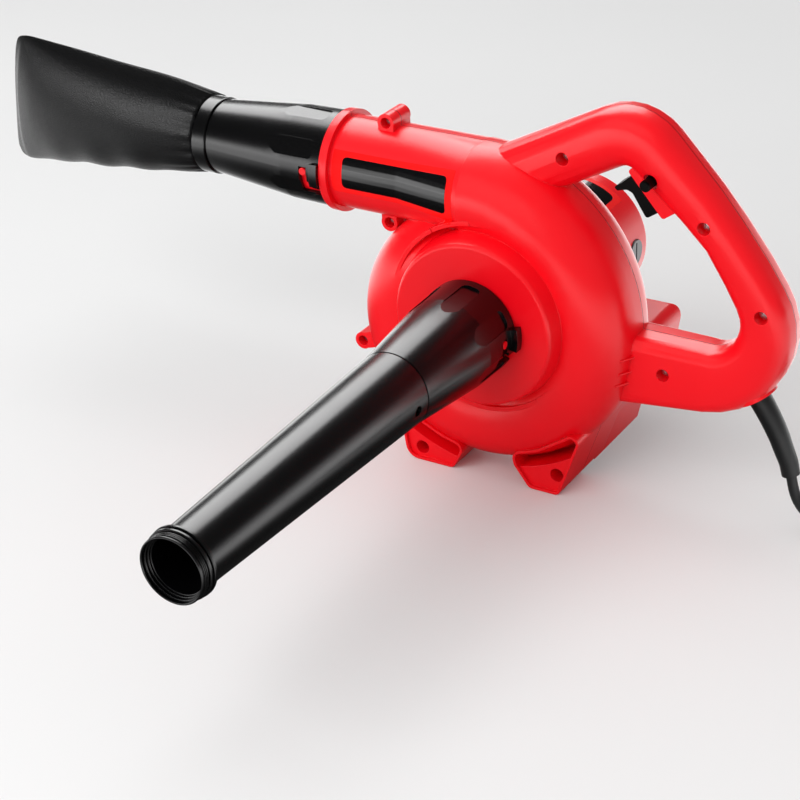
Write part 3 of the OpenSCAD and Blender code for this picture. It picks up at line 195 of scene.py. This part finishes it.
def woven_cloth(name, dark, light, thread_mm):
    """Plain-woven polyester: crossing threads that catch light in specks, with a soft sheen. The threads are
    drawn about twice as wide as their real 0.5 mm, so that they show from a step away."""
    material, tree, shader = finish(name)
    uv = add(tree, "TexCoord").outputs["UV"]
    scaled = add(tree, "Mapping", {"Vector": uv, "Scale": (1000 / thread_mm,) * 3}).outputs["Vector"]
    axes = add(tree, "SeparateXYZ", {"Vector": scaled})
    waves = []
    for axis in ("X", "Y"):
        turn = add(tree, "Math", {0: axes.outputs[axis], 1: math.pi}, operation="MULTIPLY").outputs[0]
        wave = add(tree, "Math", {0: turn}, operation="SINE").outputs[0]
        waves.append(add(tree, "Math", {0: wave}, operation="ABSOLUTE").outputs[0])
    weave = add(tree, "Math", {0: waves[0], 1: waves[1]}, operation="MULTIPLY").outputs[0]
    fuzz = add(tree, "TexNoise", {"Vector": scaled, "Scale": 0.9, "Detail": 3.0}).outputs["Fac"]
    slubs = add(tree, "TexNoise", {"Vector": scaled, "Scale": 1.25, "Detail": 2.0}).outputs["Fac"]
    specks = add(tree, "MapRange", {"Value": slubs, "From Min": 0.38, "From Max": 0.66}).outputs["Result"]
    thread = add(tree, "Math", {0: weave, 1: 0.35, 2: 0.1}, operation="MULTIPLY_ADD").outputs[0]
    mixed = add(tree, "Math", {0: thread, 1: specks}, operation="ADD").outputs[0]
    tree.links.new(ramp(tree, mixed, 0.1, 1.2, srgb(dark), srgb(light)), shader.inputs["Base Color"])
    tree.links.new(spread(tree, fuzz, 0.36, 0.48), shader.inputs["Roughness"])
    bump = add(tree, "Bump", {"Height": mixed, "Strength": 0.6, "Distance": 0.0002})
    tree.links.new(bump.outputs["Normal"], shader.inputs["Normal"])
    shader.inputs["Sheen Weight"].default_value = 0.04
    shader.inputs["Sheen Roughness"].default_value = 0.3
    shader.inputs["Specular IOR Level"].default_value = 0.13
    return material


# Plastics: two shades, range of roughness, size and depth of the grain, radius of the edges, specular level, and for
# the red the colour of the painted shade along its seam
RED_ABS = moulded("satin_polished_red_abs", ("#f00516", "#f30818"), (0.27, 0.32), 0.5, 0.0015, 0.8, 0.33, "#6a060c")
BLACK_ABS = moulded("satin_polished_black_abs", ("#050506", "#080809"), (0.23, 0.28), 0.5, 0.0012, 0.25)
BLACK_NYLON = moulded("spark_textured_black_nylon", ("#030303", "#060606"), (0.42, 0.56), 0.5, 0.03, 0.4, 0.08)
GREY_NYLON = moulded("textured_grey_nylon", ("#3e3f42", "#4a4b4e"), (0.36, 0.48), 0.5, 0.02, 0.3)
CORD_PVC = moulded("flexible_black_pvc", ("#0b0b0c", "#121213"), (0.4, 0.5), 1.0, 0.01, 0.3)
CARBON = moulded("pressed_carbon", ("#1a1a1c", "#242426"), (0.5, 0.65), 0.3, 0.02, 0.2)
BAG_CLOTH = woven_cloth("plain_woven_black_polyester", "#020202", "#161617", 1.1)
# Metals: two shades, range of roughness, size of the marks, how they are drawn out, and their depth
ZINC_STEEL = worked_metal("bright_zinc_plated_steel", ("#d4d6d8", "#e8eaec"), (0.3, 0.42), 0.4)
TURNED_STEEL = worked_metal("ground_steel", ("#aeb1b4", "#c3c6c9"), (0.2, 0.34), 0.3, (1, 0.1, 1))
SHEET_STEEL = worked_metal("laminated_sheet_steel", ("#6d7175", "#84888c"), (0.35, 0.55), 0.5, (0.05, 1, 0.05), 0.04)
CAST_ALUMINIUM = worked_metal("die_cast_aluminium", ("#b9bcbf", "#cfd1d3"), (0.35, 0.5), 0.7, depth_mm=0.03)
COPPER_WIRE = worked_metal("enamelled_copper_wire", ("#a5532a", "#c06a38"), (0.25, 0.4), 0.8, (1, 0.15, 1), 0.08)
BRASS = worked_metal("drawn_brass", ("#c9a24c", "#dab664"), (0.22, 0.36), 0.4)

FINISHES = {
    RED_ABS: ["front_housing", "rear_housing", "motor_cover"],
    BLACK_ABS: ["inlet_adapter", "outlet_adapter", "suction_pipe", "bag_collar"],
    BLACK_NYLON: ["trigger", "lock_button", "switch_body", "cord_clamp", "cooling_fan", "coil_tie"],
    GREY_NYLON: ["brush_caps"],
    CORD_PVC: ["strain_relief", "inner_lead", "plug_body", "cord", "cord_coil"],
    BAG_CLOTH: ["dust_bag"],
    ZINC_STEEL: ["handle_screws", "seam_screws", "foot_screws", "cover_screws", "bracket_screws", "clamp_screws",
                 "impeller_nut", "impeller_washer", "trigger_spring", "lock_spring", "brush_springs"],
    TURNED_STEEL: ["motor_shaft", "front_bearing", "rear_bearing"],
    SHEET_STEEL: ["armature_core", "stator_core"],
    CAST_ALUMINIUM: ["impeller", "bearing_bracket"],
    COPPER_WIRE: ["armature_windings", "field_coils", "commutator"],
    BRASS: ["brush_holders", "plug_pins"],
    CARBON: ["carbon_brushes"],
}
for material, names in FINISHES.items():
    for name in names:
        nodes[name].data.materials.clear()
        nodes[name].data.materials.append(material)

# ---------------------------------------------------------------- shapes

# Points closer than this, in metres, are one point
MERGE = 0.000002


def pick(piece):
    """Takes one piece in hand: selected alone, and active."""
    bpy.ops.object.select_all(action="DESELECT")
    piece.select_set(True)
    bpy.context.view_layer.objects.active = piece


def settle(piece, body, slot, *replaced):
    """Puts a finished piece's place into its mesh and hands it to its body, in place of the solids named."""
    pick(piece)
    bpy.ops.object.transform_apply(location=True, rotation=True, scale=True)
    piece.select_set(False)
    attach(piece, body)
    if replaced:
        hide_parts(*replaced)
    return piece


def apply_all(piece):
    """Applies a piece's modifiers in order."""
    pick(piece)
    for modifier in list(piece.modifiers):
        bpy.ops.object.modifier_apply(modifier=modifier.name)


def face_outward(merged=False):
    """Turns the faces of the piece in hand outward, after joining its doubled points if merged."""
    bpy.ops.object.mode_set(mode="EDIT")
    bpy.ops.mesh.select_all(action="SELECT")
    if merged:
        bpy.ops.mesh.remove_doubles(threshold=MERGE)
    bpy.ops.mesh.normals_make_consistent(inside=False)
    bpy.ops.object.mode_set(mode="OBJECT")


def turned(name, profile, closed, steps):
    """A piece turned round its own Z from a profile of [radius, height] in millimetres."""
    count = len(profile)
    edges = [(i, (i + 1) % count) for i in range(count if closed else count - 1)]
    shape = bpy.data.meshes.new(name)
    shape.from_pydata([(r / 1000, 0, z / 1000) for r, z in profile], edges, [])
    piece = bpy.data.objects.new(name, shape)
    bpy.context.scene.collection.objects.link(piece)
    turn = piece.modifiers.new("turn", "SCREW")
    turn.steps = turn.render_steps = steps
    turn.use_merge_vertices, turn.merge_threshold = True, MERGE / 2
    apply_all(piece)
    face_outward(merged=not closed)
    return piece


def cut_away(piece, tool):
    """Cuts a tool's shape out of a piece and clears the tool away."""
    cut = piece.modifiers.new("cut", "BOOLEAN")
    cut.operation, cut.object, cut.solver = "DIFFERENCE", tool, "EXACT"
    apply_all(piece)
    bpy.data.objects.remove(tool)


def smooth_copy(node, name, body, slot, angle):
    """A merged copy of a solid whose facets shade as one surface where they meet at less than angle."""
    piece = nodes[node].copy()
    piece.data = nodes[node].data.copy()
    piece.name = piece.data.name = name
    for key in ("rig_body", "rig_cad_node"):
        if key in piece:
            del piece[key]
    piece.parent = None
    bpy.context.scene.collection.objects.link(piece)
    pick(piece)
    bpy.ops.object.mode_set(mode="EDIT")
    bpy.ops.mesh.select_all(action="SELECT")
    bpy.ops.mesh.remove_doubles(threshold=MERGE)
    bpy.ops.mesh.customdata_custom_splitnormals_clear()
    bpy.ops.object.mode_set(mode="OBJECT")
    bpy.ops.object.shade_smooth_by_angle(angle=math.radians(angle), keep_sharp_edges=False)
    weights = piece.modifiers.new("weights", "WEIGHTED_NORMAL")
    weights.keep_sharp = True
    apply_all(piece)
    return settle(piece, body, slot, node)


front_shell = smooth_copy("front_housing", "front_shell", "body", "red_abs", 28)
rear_shell = smooth_copy("rear_housing", "rear_shell", "body", "red_abs", 28)
# Without this the stand's red spreads over the pale floor
rear_shell.visible_diffuse = False
smooth_copy("strain_relief", "relief_sleeve", "body", "cord_rubber", 50)

# ---------------------------------------------------------------- bare plates

LABEL_RED = moulded("bright_red_label_film", ("#fd0002", "#ff0103"), (0.5, 0.6), 0.8, 0.001, 0.1, 0.15)
LABEL_BLACK = moulded("gloss_black_label_film", ("#050506", "#08080a"), (0.14, 0.2), 0.8, 0.001, 0.1)
# The film's parts along and round, its thickness, and how far off the wall it starts
FILM_PARTS, FILM_THICK, FILM_OFF = (120, 60), 0.12, 16
BARREL_R = 46


def bent_plate(name, material, slot, wall, lift, turn, arc, reach, corner):
    """A thin film on a round wall: a rounded rectangle, wrapped and then pressed onto the shell. It covers
    reach along the wall's axis and arc millimetres round it; its middle is turned from the top by turn."""
    shell, radius, height = wall
    bpy.ops.mesh.primitive_grid_add(x_subdivisions=FILM_PARTS[0], y_subdivisions=FILM_PARTS[1], size=2)
    film = bpy.context.object
    film.name = film.data.name = name
    middle, half, side = (reach[0] + reach[1]) / 2, (reach[1] - reach[0]) / 2, arc / 2
    for v in film.data.vertices:
        u, w = v.co.x, v.co.y * side
        over = max(0, abs(w) - (side - corner))
        along = middle + u * (half - corner + math.sqrt(max(0, corner * corner - over * over)))
        q = math.radians(turn) + w / radius
        out, high = (radius + FILM_OFF) * math.sin(q), (radius + FILM_OFF) * math.cos(q)
        v.co = mm(along, -out, height + high) if shell is front_shell else mm(out, along, height + high)
    face_outward()
    centre_face = film.data.polygons[len(film.data.polygons) // 2]
    if centre_face.normal.dot(centre_face.center - mm(0, 0, height)) < 0:
        film.data.flip_normals()
    press = film.modifiers.new("press", "SHRINKWRAP")
    press.target, press.wrap_method, press.wrap_mode = shell, "PROJECT", "ABOVE_SURFACE"
    press.use_negative_direction, press.use_positive_direction = True, False
    press.offset = lift / 1000
    skin = film.modifiers.new("skin", "SOLIDIFY")
    skin.thickness, skin.offset = FILM_THICK / 1000, 1
    apply_all(film)
    bpy.ops.object.shade_smooth_by_angle(angle=math.radians(30))
    film.data.materials.append(material)
    return settle(film, "body", slot)


# A black plate with a bright red border on the outlet tube, and another pair on the motor barrel
OUTLET_TUBE, BARREL = (front_shell, TUBE_R, OUTLET_Z), (rear_shell, BARREL_R, FAN_H)
bent_plate("outlet_plate_border", LABEL_RED, "red_abs", OUTLET_TUBE, 0.05, 82, 29, (-116, -21), 0.6)
bent_plate("outlet_plate", LABEL_BLACK, "black_gloss", OUTLET_TUBE, 0.2, 82, 21, (-108, -26), 3)
bent_plate("motor_plate_border", LABEL_RED, "red_abs", BARREL, 0.05, 17, 42, (66, 105), 0.6)
bent_plate("motor_plate", LABEL_BLACK, "black_gloss", BARREL, 0.2, 15, 36, (68, 100), 4)

# ---------------------------------------------------------------- screws

# The domed head: [share of its radius, height over its underside], and the shank's radius
HEAD_FORM = [(0, 2), (0.4, 1.93), (0.7, 1.66), (0.88, 1.25), (0.98, 0.7), (1, 0.3), (1, 0)]
SHANK_R = 1.45
# The cross recess: height of its floor, width of its arms, and their length as a share of the head's radius
RECESS_FLOOR, RECESS_W, RECESS_REACH = 0.95, 0.8, 1.2
BLADE_H = 2


def pan_screws(name, node, head, places):
    """Pan head screws with a cross recess, heads to the front. A place is the x, y and z of the underside of
    a head, and the screw's length behind it."""
    screws = []
    for x, y, z, length in places:
        profile = [(head * share, high) for share, high in HEAD_FORM]
        screw = turned(name, profile + [(SHANK_R, 0), (SHANK_R, -length), (0, -length)], False, 40)
        for quarter in (45, 135):
            bpy.ops.mesh.primitive_cube_add(size=1, location=(0, 0, (RECESS_FLOOR + BLADE_H / 2) / 1000),
                                            rotation=(0, 0, math.radians(quarter)))
            blade = bpy.context.object
            blade.scale = (head * RECESS_REACH / 1000, RECESS_W / 1000, BLADE_H / 1000)
            bpy.context.view_layer.update()
            cut_away(screw, blade)
        screw.matrix_world = Matrix.Translation(mm(x, y, z)) @ Matrix.Rotation(math.radians(90), 4, "X")
        screws.append(screw)
    bpy.context.view_layer.update()
    bpy.ops.object.select_all(action="DESELECT")
    for screw in screws:
        screw.select_set(True)
    bpy.context.view_layer.objects.active = screws[0]
    bpy.ops.object.join()
    joined = bpy.context.object
    joined.name = joined.data.name = name
    bpy.ops.object.shade_smooth_by_angle(angle=math.radians(35))
    joined.data.materials.clear()
    joined.data.materials.append(ZINC_STEEL)
    return settle(joined, "body", "steel", node)


pan_screws("handle_pan_screws", "handle_screws", 3.6, [
    (47.5, -9, 232.88, 18), (142.98, -9, 203.43, 18), (182.55, -9, 151.77, 18), (118.62, -9, 97.14, 18)])
pan_screws("seam_pan_screws", "seam_screws", 3, [
    (-85.6, -3.5, 232.1, 12), (-85.6, -3.5, 161.4, 12), (-104.54, -13.5, 73.18, 22)])
pan_screws("foot_pan_screws", "foot_screws", 3.6, [(-51.6, -14, 8.8, 30), (51.8, -14, 14, 30)])

# ---------------------------------------------------------------- pipe

# Where the pipe leaves the inlet adapter, and its radius where the rings of its mouth begin
PIPE_START, PIPE_TIP = 151.3, 19.2
# The fine rings at the mouth: height of the first, their pitch, and one ring as [radius, height over its foot]
RING_START, RING_PITCH, RINGS = 222.3, 1.2, 3
RING = [(20.0, 0), (20.8, 0.25), (20.8, 0.65), (20.0, 0.9)]
# The snap hole at the adapter: its turn from the right, its radius and height, and the drill's place and length
HOLE_TURN, HOLE_R, HOLE_H = math.radians(-6), 3.4, 12
DRILL_AT, DRILL_LONG = 25, 20


def turned_pipe():
    """The suction pipe, turned from its profile: a tapered wall, the stepped rings of its mouth, a snap hole."""
    rim = [(24.5, 0), (24.7, 0.5), (25.4, 0.7), (25.65, 1.1)]
    collar = [(PIPE_TIP, 215.6), (PIPE_TIP + 0.5, 215.95), (21.7, 216.1), (22.1, 216.5), (22.1, 217.9), (21.7, 218.3),
              (20.1, 218.4), (20.1, 219.5), (21.3, 219.6), (21.7, 219.9), (21.7, 221.1), (21.3, 221.5), (20.0, 221.6)]
    rings = [(r, RING_START + RING_PITCH * k + z) for k in range(RINGS) for r, z in RING]
    lip = [(20.2, 226.1), (20.2, 226.5), (20.5, 226.6), (20.8, 226.9), (20.75, 227.5), (20.3, 227.95), (19.9, 228)]
    steps_in = [(19.5, 227.8), (19.3, 227.4), (19.3, 225.4), (18.8, 225.3), (18.6, 225.1), (18.6, 223.4),
                (18.1, 223.3), (17.9, 223.1), (17.9, 221.8), (17.5, 221.7), (17.4, 221.5)]
    bore = [(17.4, 214), (PIPE_TIP - 2.2, 208), (22.3, 28), (23.6, 26), (23.6, 0)]
    tube = turned("suction_tube", rim + collar + rings + lip + steps_in + bore, True, 160)
    spot = Vector((DRILL_AT * math.cos(HOLE_TURN), DRILL_AT * math.sin(HOLE_TURN), HOLE_H)) / 1000
    bpy.ops.mesh.primitive_cylinder_add(vertices=48, radius=HOLE_R / 1000, depth=DRILL_LONG / 1000, location=spot,
                                        rotation=(0, math.radians(90), HOLE_TURN))
    cut_away(tube, bpy.context.object)
    bpy.ops.object.shade_smooth_by_angle(angle=math.radians(24))
    # Its axis runs forward from the inlet adapter, its own X stays to the right
    tube.matrix_world = Matrix.Translation(mm(0, -PIPE_START, FAN_H)) @ Matrix.Rotation(math.radians(90), 4, "X")
    tube.data.materials.append(BLACK_ABS)
    return settle(tube, "suction_side", "black_gloss", "suction_pipe")


turned_pipe()

# ---------------------------------------------------------------- mains lead

CORD_D = 7.0
# Height of the lead's middle where it lies on the floor
LAID = 4.6
# From the strain relief down to the floor and along it to the coil
LEAD = [(202.2, 0, 38.5), (204.8, 0, 27.65), (208, 0, 20.2), (213, 0.4, 13.75), (219.8, 1.2, 8.67), (228, 2.6, 5.62),
        (237, 4.4, LAID), (248, 7, LAID), (259, 9.2, LAID), (269, 10, LAID), (279, 10, LAID), (289, 10, LAID)]
COIL_CENTRE, COIL_OUT, COIL_PITCH, COIL_TURNS, LOOP_STEPS = (296, 56), 46, 7.6, 3, 24
# The straight end after the coil, up to the plug, and its first step
TAIL, TAIL_STEP = 34, 7


def coil_point(k):
    """Point k of the coil, which winds in along the floor and out again on top."""
    n, half = COIL_TURNS * LOOP_STEPS, LOOP_STEPS / 2
    inner = COIL_OUT - COIL_PITCH * COIL_TURNS
    climb = 0 if k <= n else min(1, (k - n) / half)
    r = COIL_OUT - COIL_PITCH * k / LOOP_STEPS if k <= n else inner + COIL_PITCH * max(0, k - n - half) / LOOP_STEPS
    q = math.radians(-90 + 360 * k / LOOP_STEPS)
    return (COIL_CENTRE[0] + r * math.cos(q), COIL_CENTRE[1] + r * math.sin(q), LAID + COIL_PITCH * climb)


steps = 2 * COIL_TURNS * LOOP_STEPS + LOOP_STEPS // 2
coil = [coil_point(k) for k in range(steps + 1)]
end = coil[-1]
route = LEAD + coil + [(end[0] - TAIL_STEP, end[1], end[2]), (end[0] - TAIL, end[1], end[2])]


def rounded_route(points, parts):
    """The route with points added on a smooth curve through all of its own."""
    p = [Vector(q) for q in points]
    p = [p[0] * 2 - p[1]] + p + [p[-1] * 2 - p[-2]]
    made = []
    for i in range(1, len(p) - 2):
        for k in range(parts):
            t = k / parts
            made.append(0.5 * ((2 * p[i]) + (p[i + 1] - p[i - 1]) * t
                               + (2 * p[i - 1] - 5 * p[i] + 4 * p[i + 1] - p[i + 2]) * t * t
                               + (3 * p[i] - p[i - 1] - 3 * p[i + 1] + p[i + 2]) * t ** 3))
    return made + [p[-2]]


line = rounded_route(route, 3)
curve = bpy.data.curves.new("mains_lead", "CURVE")
curve.dimensions = "3D"
spline = curve.splines.new("POLY")
spline.points.add(len(line) - 1)
for point, place in zip(spline.points, line):
    point.co = (*mm(*place), 1)
curve.bevel_depth = CORD_D / 2000
curve.bevel_resolution = 5
curve.use_fill_caps = True
mains_lead = bpy.data.objects.new("mains_lead", curve)
bpy.context.scene.collection.objects.link(mains_lead)
curve.materials.append(CORD_PVC)
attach(mains_lead, "body")
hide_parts("cord", "cord_coil")

# ---------------------------------------------------------------- dust bag

# Distance of the collar from the fan axis, the bag's length, and its middle's height over the tube's axis
BAG_START, BAG_LEN, BAG_RISE = 233.8, 173.0, 0.5
# Sections of the bag: [share of its length, half height, half depth]
BAG_FORMS = [(0, 26.7, 26.7), (0.05, 28.4, 28.4), (0.16, 31.4, 31), (0.3, 34.3, 33), (0.48, 37.8, 32.5),
             (0.66, 41.6, 30), (0.82, 45.3, 24), (0.93, 47.9, 15), (0.965, 47.5, 9), (0.985, 45.8, 6), (1, 41, 3)]
# Power of a section's outline, slightly squarer than an ellipse, and how much closer rings stand at the far end
BAG_POWER, RING_CROWD = 2 / 2.15, 1.25
# How much further out the lower corner of the far end hangs than its middle, and how far the upper one is drawn in
BAG_HANG, BAG_DRAWN = 9.5, 1.5
# Gathers at the collar: [depth, folds round the bag, how fast they fade, where they start]
GATHERS = [(0.55, 22, 16, 0), (0.5, 9, 7, 1.2)]
# Slack folds between the ends: [share of their depth, waves along, waves round, where they start]
WANDERS = [(1, 5, 2, 0), (0.6, 11, -3, 0.7)]
# Millimetres of slack folds, of sags along the underside, and of cloth drawn in all round; and the sags' waves
SLACK, SAG, SNUG, SAG_WAVES = 0.315, 0.7, 0.4, 28
# Folds grow shallower where half the bag's depth is less than this
THIN = 20
# Rings along the bag and points round it, metres of cloth to a radian, and the cloth's thickness
BAG_PARTS, CLOTH_ROUND, BAG_WALL = (90, 144), 0.036, 0.0013


def bag_size(t):
    """Half height and half depth at share t of the bag's length, on a smooth curve through its sections."""
    shares = [f[0] for f in BAG_FORMS]
    i = max(0, min(len(BAG_FORMS) - 2, sum(s <= t for s in shares) - 1))
    g = (t - shares[i]) / (shares[i + 1] - shares[i])

    def slope(j, c):
        a, b = max(0, j - 1), min(len(BAG_FORMS) - 1, j + 1)
        return (BAG_FORMS[b][c] - BAG_FORMS[a][c]) / (shares[b] - shares[a])

    out = []
    for c in (1, 2):
        w = shares[i + 1] - shares[i]
        y0, y1, m0, m1 = BAG_FORMS[i][c], BAG_FORMS[i + 1][c], slope(i, c) * w, slope(i + 1, c) * w
        out.append((2 * g ** 3 - 3 * g ** 2 + 1) * y0 + (g ** 3 - 2 * g ** 2 + g) * m0
                   + (3 * g ** 2 - 2 * g ** 3) * y1 + (g ** 3 - g ** 2) * m1)
    return out


def sewn_bag():
    """The cloth bag: a tube lofted along its length, with soft gathers at the collar and a sewn far end."""
    bpy.ops.mesh.primitive_grid_add(x_subdivisions=BAG_PARTS[0], y_subdivisions=BAG_PARTS[1], size=2)
    bag = bpy.context.object
    bag.name = bag.data.name = "dust_bag_cloth"
    mesh = bmesh.new()
    mesh.from_mesh(bag.data)
    uv = mesh.loops.layers.uv.verify()
    place = {}
    for v in mesh.verts:
        t, q = (v.co.x + 1) / 2, (v.co.y + 1) * math.pi
        place[v] = (t, q)
        t = 1 - (1 - t) ** RING_CROWD
        h, d = bag_size(t)
        c, s = math.cos(q), math.sin(q)
        gather = sum(deep * math.exp(-t * fade) * math.sin(folds * q + start) for deep, folds, fade, start in GATHERS)
        wander = sum(deep * math.sin(along * t + turns * q + start) for deep, along, turns, start in WANDERS)
        free = math.sin(math.pi * t)
        grow = gather + SLACK * free * wander + SAG * free * max(0, -c) * math.sin(SAG_WAVES * t) - SNUG
        hang = BAG_HANG * t ** 3 * (0.5 - 0.5 * c) - BAG_DRAWN * t ** 3
        z = (h + grow) * math.copysign(abs(c) ** BAG_POWER, c)
        y = (d + grow * min(1, d / THIN)) * math.copysign(abs(s) ** BAG_POWER, s)
        v.co = mm(-BAG_START - t * BAG_LEN - hang, y, OUTLET_Z + BAG_RISE + z)
    for face in mesh.faces:
        for loop in face.loops:
            t, q = place[loop.vert]
            loop[uv].uv = (t * BAG_LEN / 1000, q * CLOTH_ROUND)
    bmesh.ops.remove_doubles(mesh, verts=mesh.verts, dist=0.00001)
    tip = [e for e in mesh.edges if e.is_boundary and (e.verts[0].co.x * 1000 - SHIFT.x) < -BAG_START - BAG_LEN / 2]
    bmesh.ops.edgeloop_fill(mesh, edges=tip)
    bmesh.ops.recalc_face_normals(mesh, faces=mesh.faces)
    mesh.to_mesh(bag.data)
    mesh.free()
    wall = bag.modifiers.new("wall", "SOLIDIFY")
    wall.thickness, wall.offset = BAG_WALL, -1
    apply_all(bag)
    bpy.ops.object.shade_smooth()
    bag.data.materials.append(BAG_CLOTH)
    return settle(bag, "bag_side", "bag_cloth", "dust_bag")


dust_bag = sewn_bag()

# ---------------------------------------------------------------- floor and light

# The paper is pale to the eye. Gloss mirrors it as a lit table that is dark near the blower, so that reds and
# blacks stay deep and their edges catch light: it rises from dim to bright between two distances from its middle
TABLE_MIDDLE = (0.0, -0.08, 0)
DARK_REACH, LIT_REACH = 0.27, 0.58
DIM, BRIGHT = 0.04, 2.4
floor_material, floor_tree, floor_shader = finish("pale_studio_paper")
where = add(floor_tree, "TexCoord").outputs["Object"]
paper = add(floor_tree, "TexNoise", {"Vector": where, "Scale": 3.0}).outputs["Fac"]
paper_tint = ramp(floor_tree, paper, 0.3, 0.7, srgb("#e6e6e6"), srgb("#e8e8e8"))
floor_tree.links.new(paper_tint, floor_shader.inputs["Base Color"])
floor_shader.inputs["Roughness"].default_value = 0.9
floor_shader.inputs["Specular IOR Level"].default_value = 0.2
reach = add(floor_tree, "VectorMath", {0: where, 1: TABLE_MIDDLE}, operation="DISTANCE").outputs["Value"]
lit = add(floor_tree, "MapRange", {"Value": reach, "From Min": DARK_REACH, "From Max": LIT_REACH,
                                   "To Min": DIM, "To Max": BRIGHT}, interpolation_type="SMOOTHSTEP")
glow = add(floor_tree, "Emission", {"Color": (1, 1, 1, 1), "Strength": lit.outputs["Result"]})
rays = add(floor_tree, "LightPath")
mixed = add(floor_tree, "MixShader", {0: rays.outputs["Is Glossy Ray"], 1: floor_shader.outputs[0],
                                      2: glow.outputs[0]})
floor_tree.links.new(mixed.outputs[0], floor_tree.nodes["Material Output"].inputs["Surface"])
bpy.ops.mesh.primitive_plane_add(size=14, location=(0, 0, -0.0002))
floor = bpy.context.object
floor.name = "studio_floor"
floor.data.materials.append(floor_material)

# Height that every light is aimed at, over the middle of the blower
AIM_H = 0.12


def soft_box(name, towards, distance, width, height, glow, fills=True, mirrored=True):
    """A rectangular studio light, that far from the blower in that direction. Its glow is the brightness of its
    face. It fills the scene with soft light, is mirrored in gloss, or both."""
    light = bpy.data.lights.new(name, "AREA")
    light.shape = "RECTANGLE"
    light.size, light.size_y, light.energy = width, height, glow * math.pi * width * height
    lamp = bpy.data.objects.new(name, light)
    bpy.context.scene.collection.objects.link(lamp)
    aim = Vector((0, 0, AIM_H))
    lamp.location = aim + Vector(towards).normalized() * distance
    lamp.rotation_mode = "QUATERNION"
    lamp.rotation_quaternion = (aim - lamp.location).to_track_quat("-Z", "Y")
    lamp.visible_diffuse, lamp.visible_glossy, lamp.visible_camera = fills, mirrored, False
    return lamp


# Each light's direction, distance, width, height and glow
soft_box("top_fill", (-0.3, 0.1, 0.95), 2.3, 2.0, 2.0, 1.2, mirrored=False)
soft_box("front_fill", (-0.25, -0.8, 0.6), 2.4, 2.2, 1.8, 3.1, mirrored=False)
top_back = soft_box("top_back_box", (-0.42, 0.55, 0.70), 1.9, 1.7, 1.3, 6.5, fills=False)
soft_box("low_right_strip", (0.66, 0.75, 0.06), 1.5, 1.2, 0.3, 1.2, fills=False)
low_left = soft_box("low_left_strip", (-0.55, -0.83, 0.05), 1.5, 1.3, 0.3, 2.5, fills=False)

# The bag has a light of its own, a long soft gleam along its side. Two of the boxes leave it out
bag_box = soft_box("bag_box", (-0.47, -0.65, 0.59), 1.3, 0.7, 0.2, 85, fills=False)
only_bag = bpy.data.collections.new("lit_by_bag_box")
only_bag.objects.link(dust_bag)
bag_box.light_linking.receiver_collection = only_bag
not_bag = bpy.data.collections.new("all_but_the_bag")
not_bag.objects.link(dust_bag)
not_bag.collection_objects[0].light_linking.link_state = "EXCLUDE"
top_back.light_linking.receiver_collection = low_left.light_linking.receiver_collection = not_bag

world = bpy.data.worlds.new("studio_air")
bpy.context.scene.world = world
world.use_nodes = True
air = world.node_tree
air.nodes["Background"].inputs["Color"].default_value = (1, 1, 1, 1)
air.nodes["Background"].inputs["Strength"].default_value = 0.62
seen = add(air, "Background", {"Color": srgb("#efefef"), "Strength": 1.0})
mirrored = add(air, "Background", {"Color": srgb("#808080"), "Strength": 0.25})
path = add(air, "LightPath")
ambient = add(air, "MixShader", {0: path.outputs["Is Glossy Ray"], 1: air.nodes["Background"].outputs[0],
                                 2: mirrored.outputs[0]})
shown = add(air, "MixShader", {0: path.outputs["Is Camera Ray"], 1: ambient.outputs[0], 2: seen.outputs[0]})
air.links.new(shown.outputs[0], air.nodes["World Output"].inputs["Surface"])
bpy.context.scene.view_settings.view_transform = "Standard"
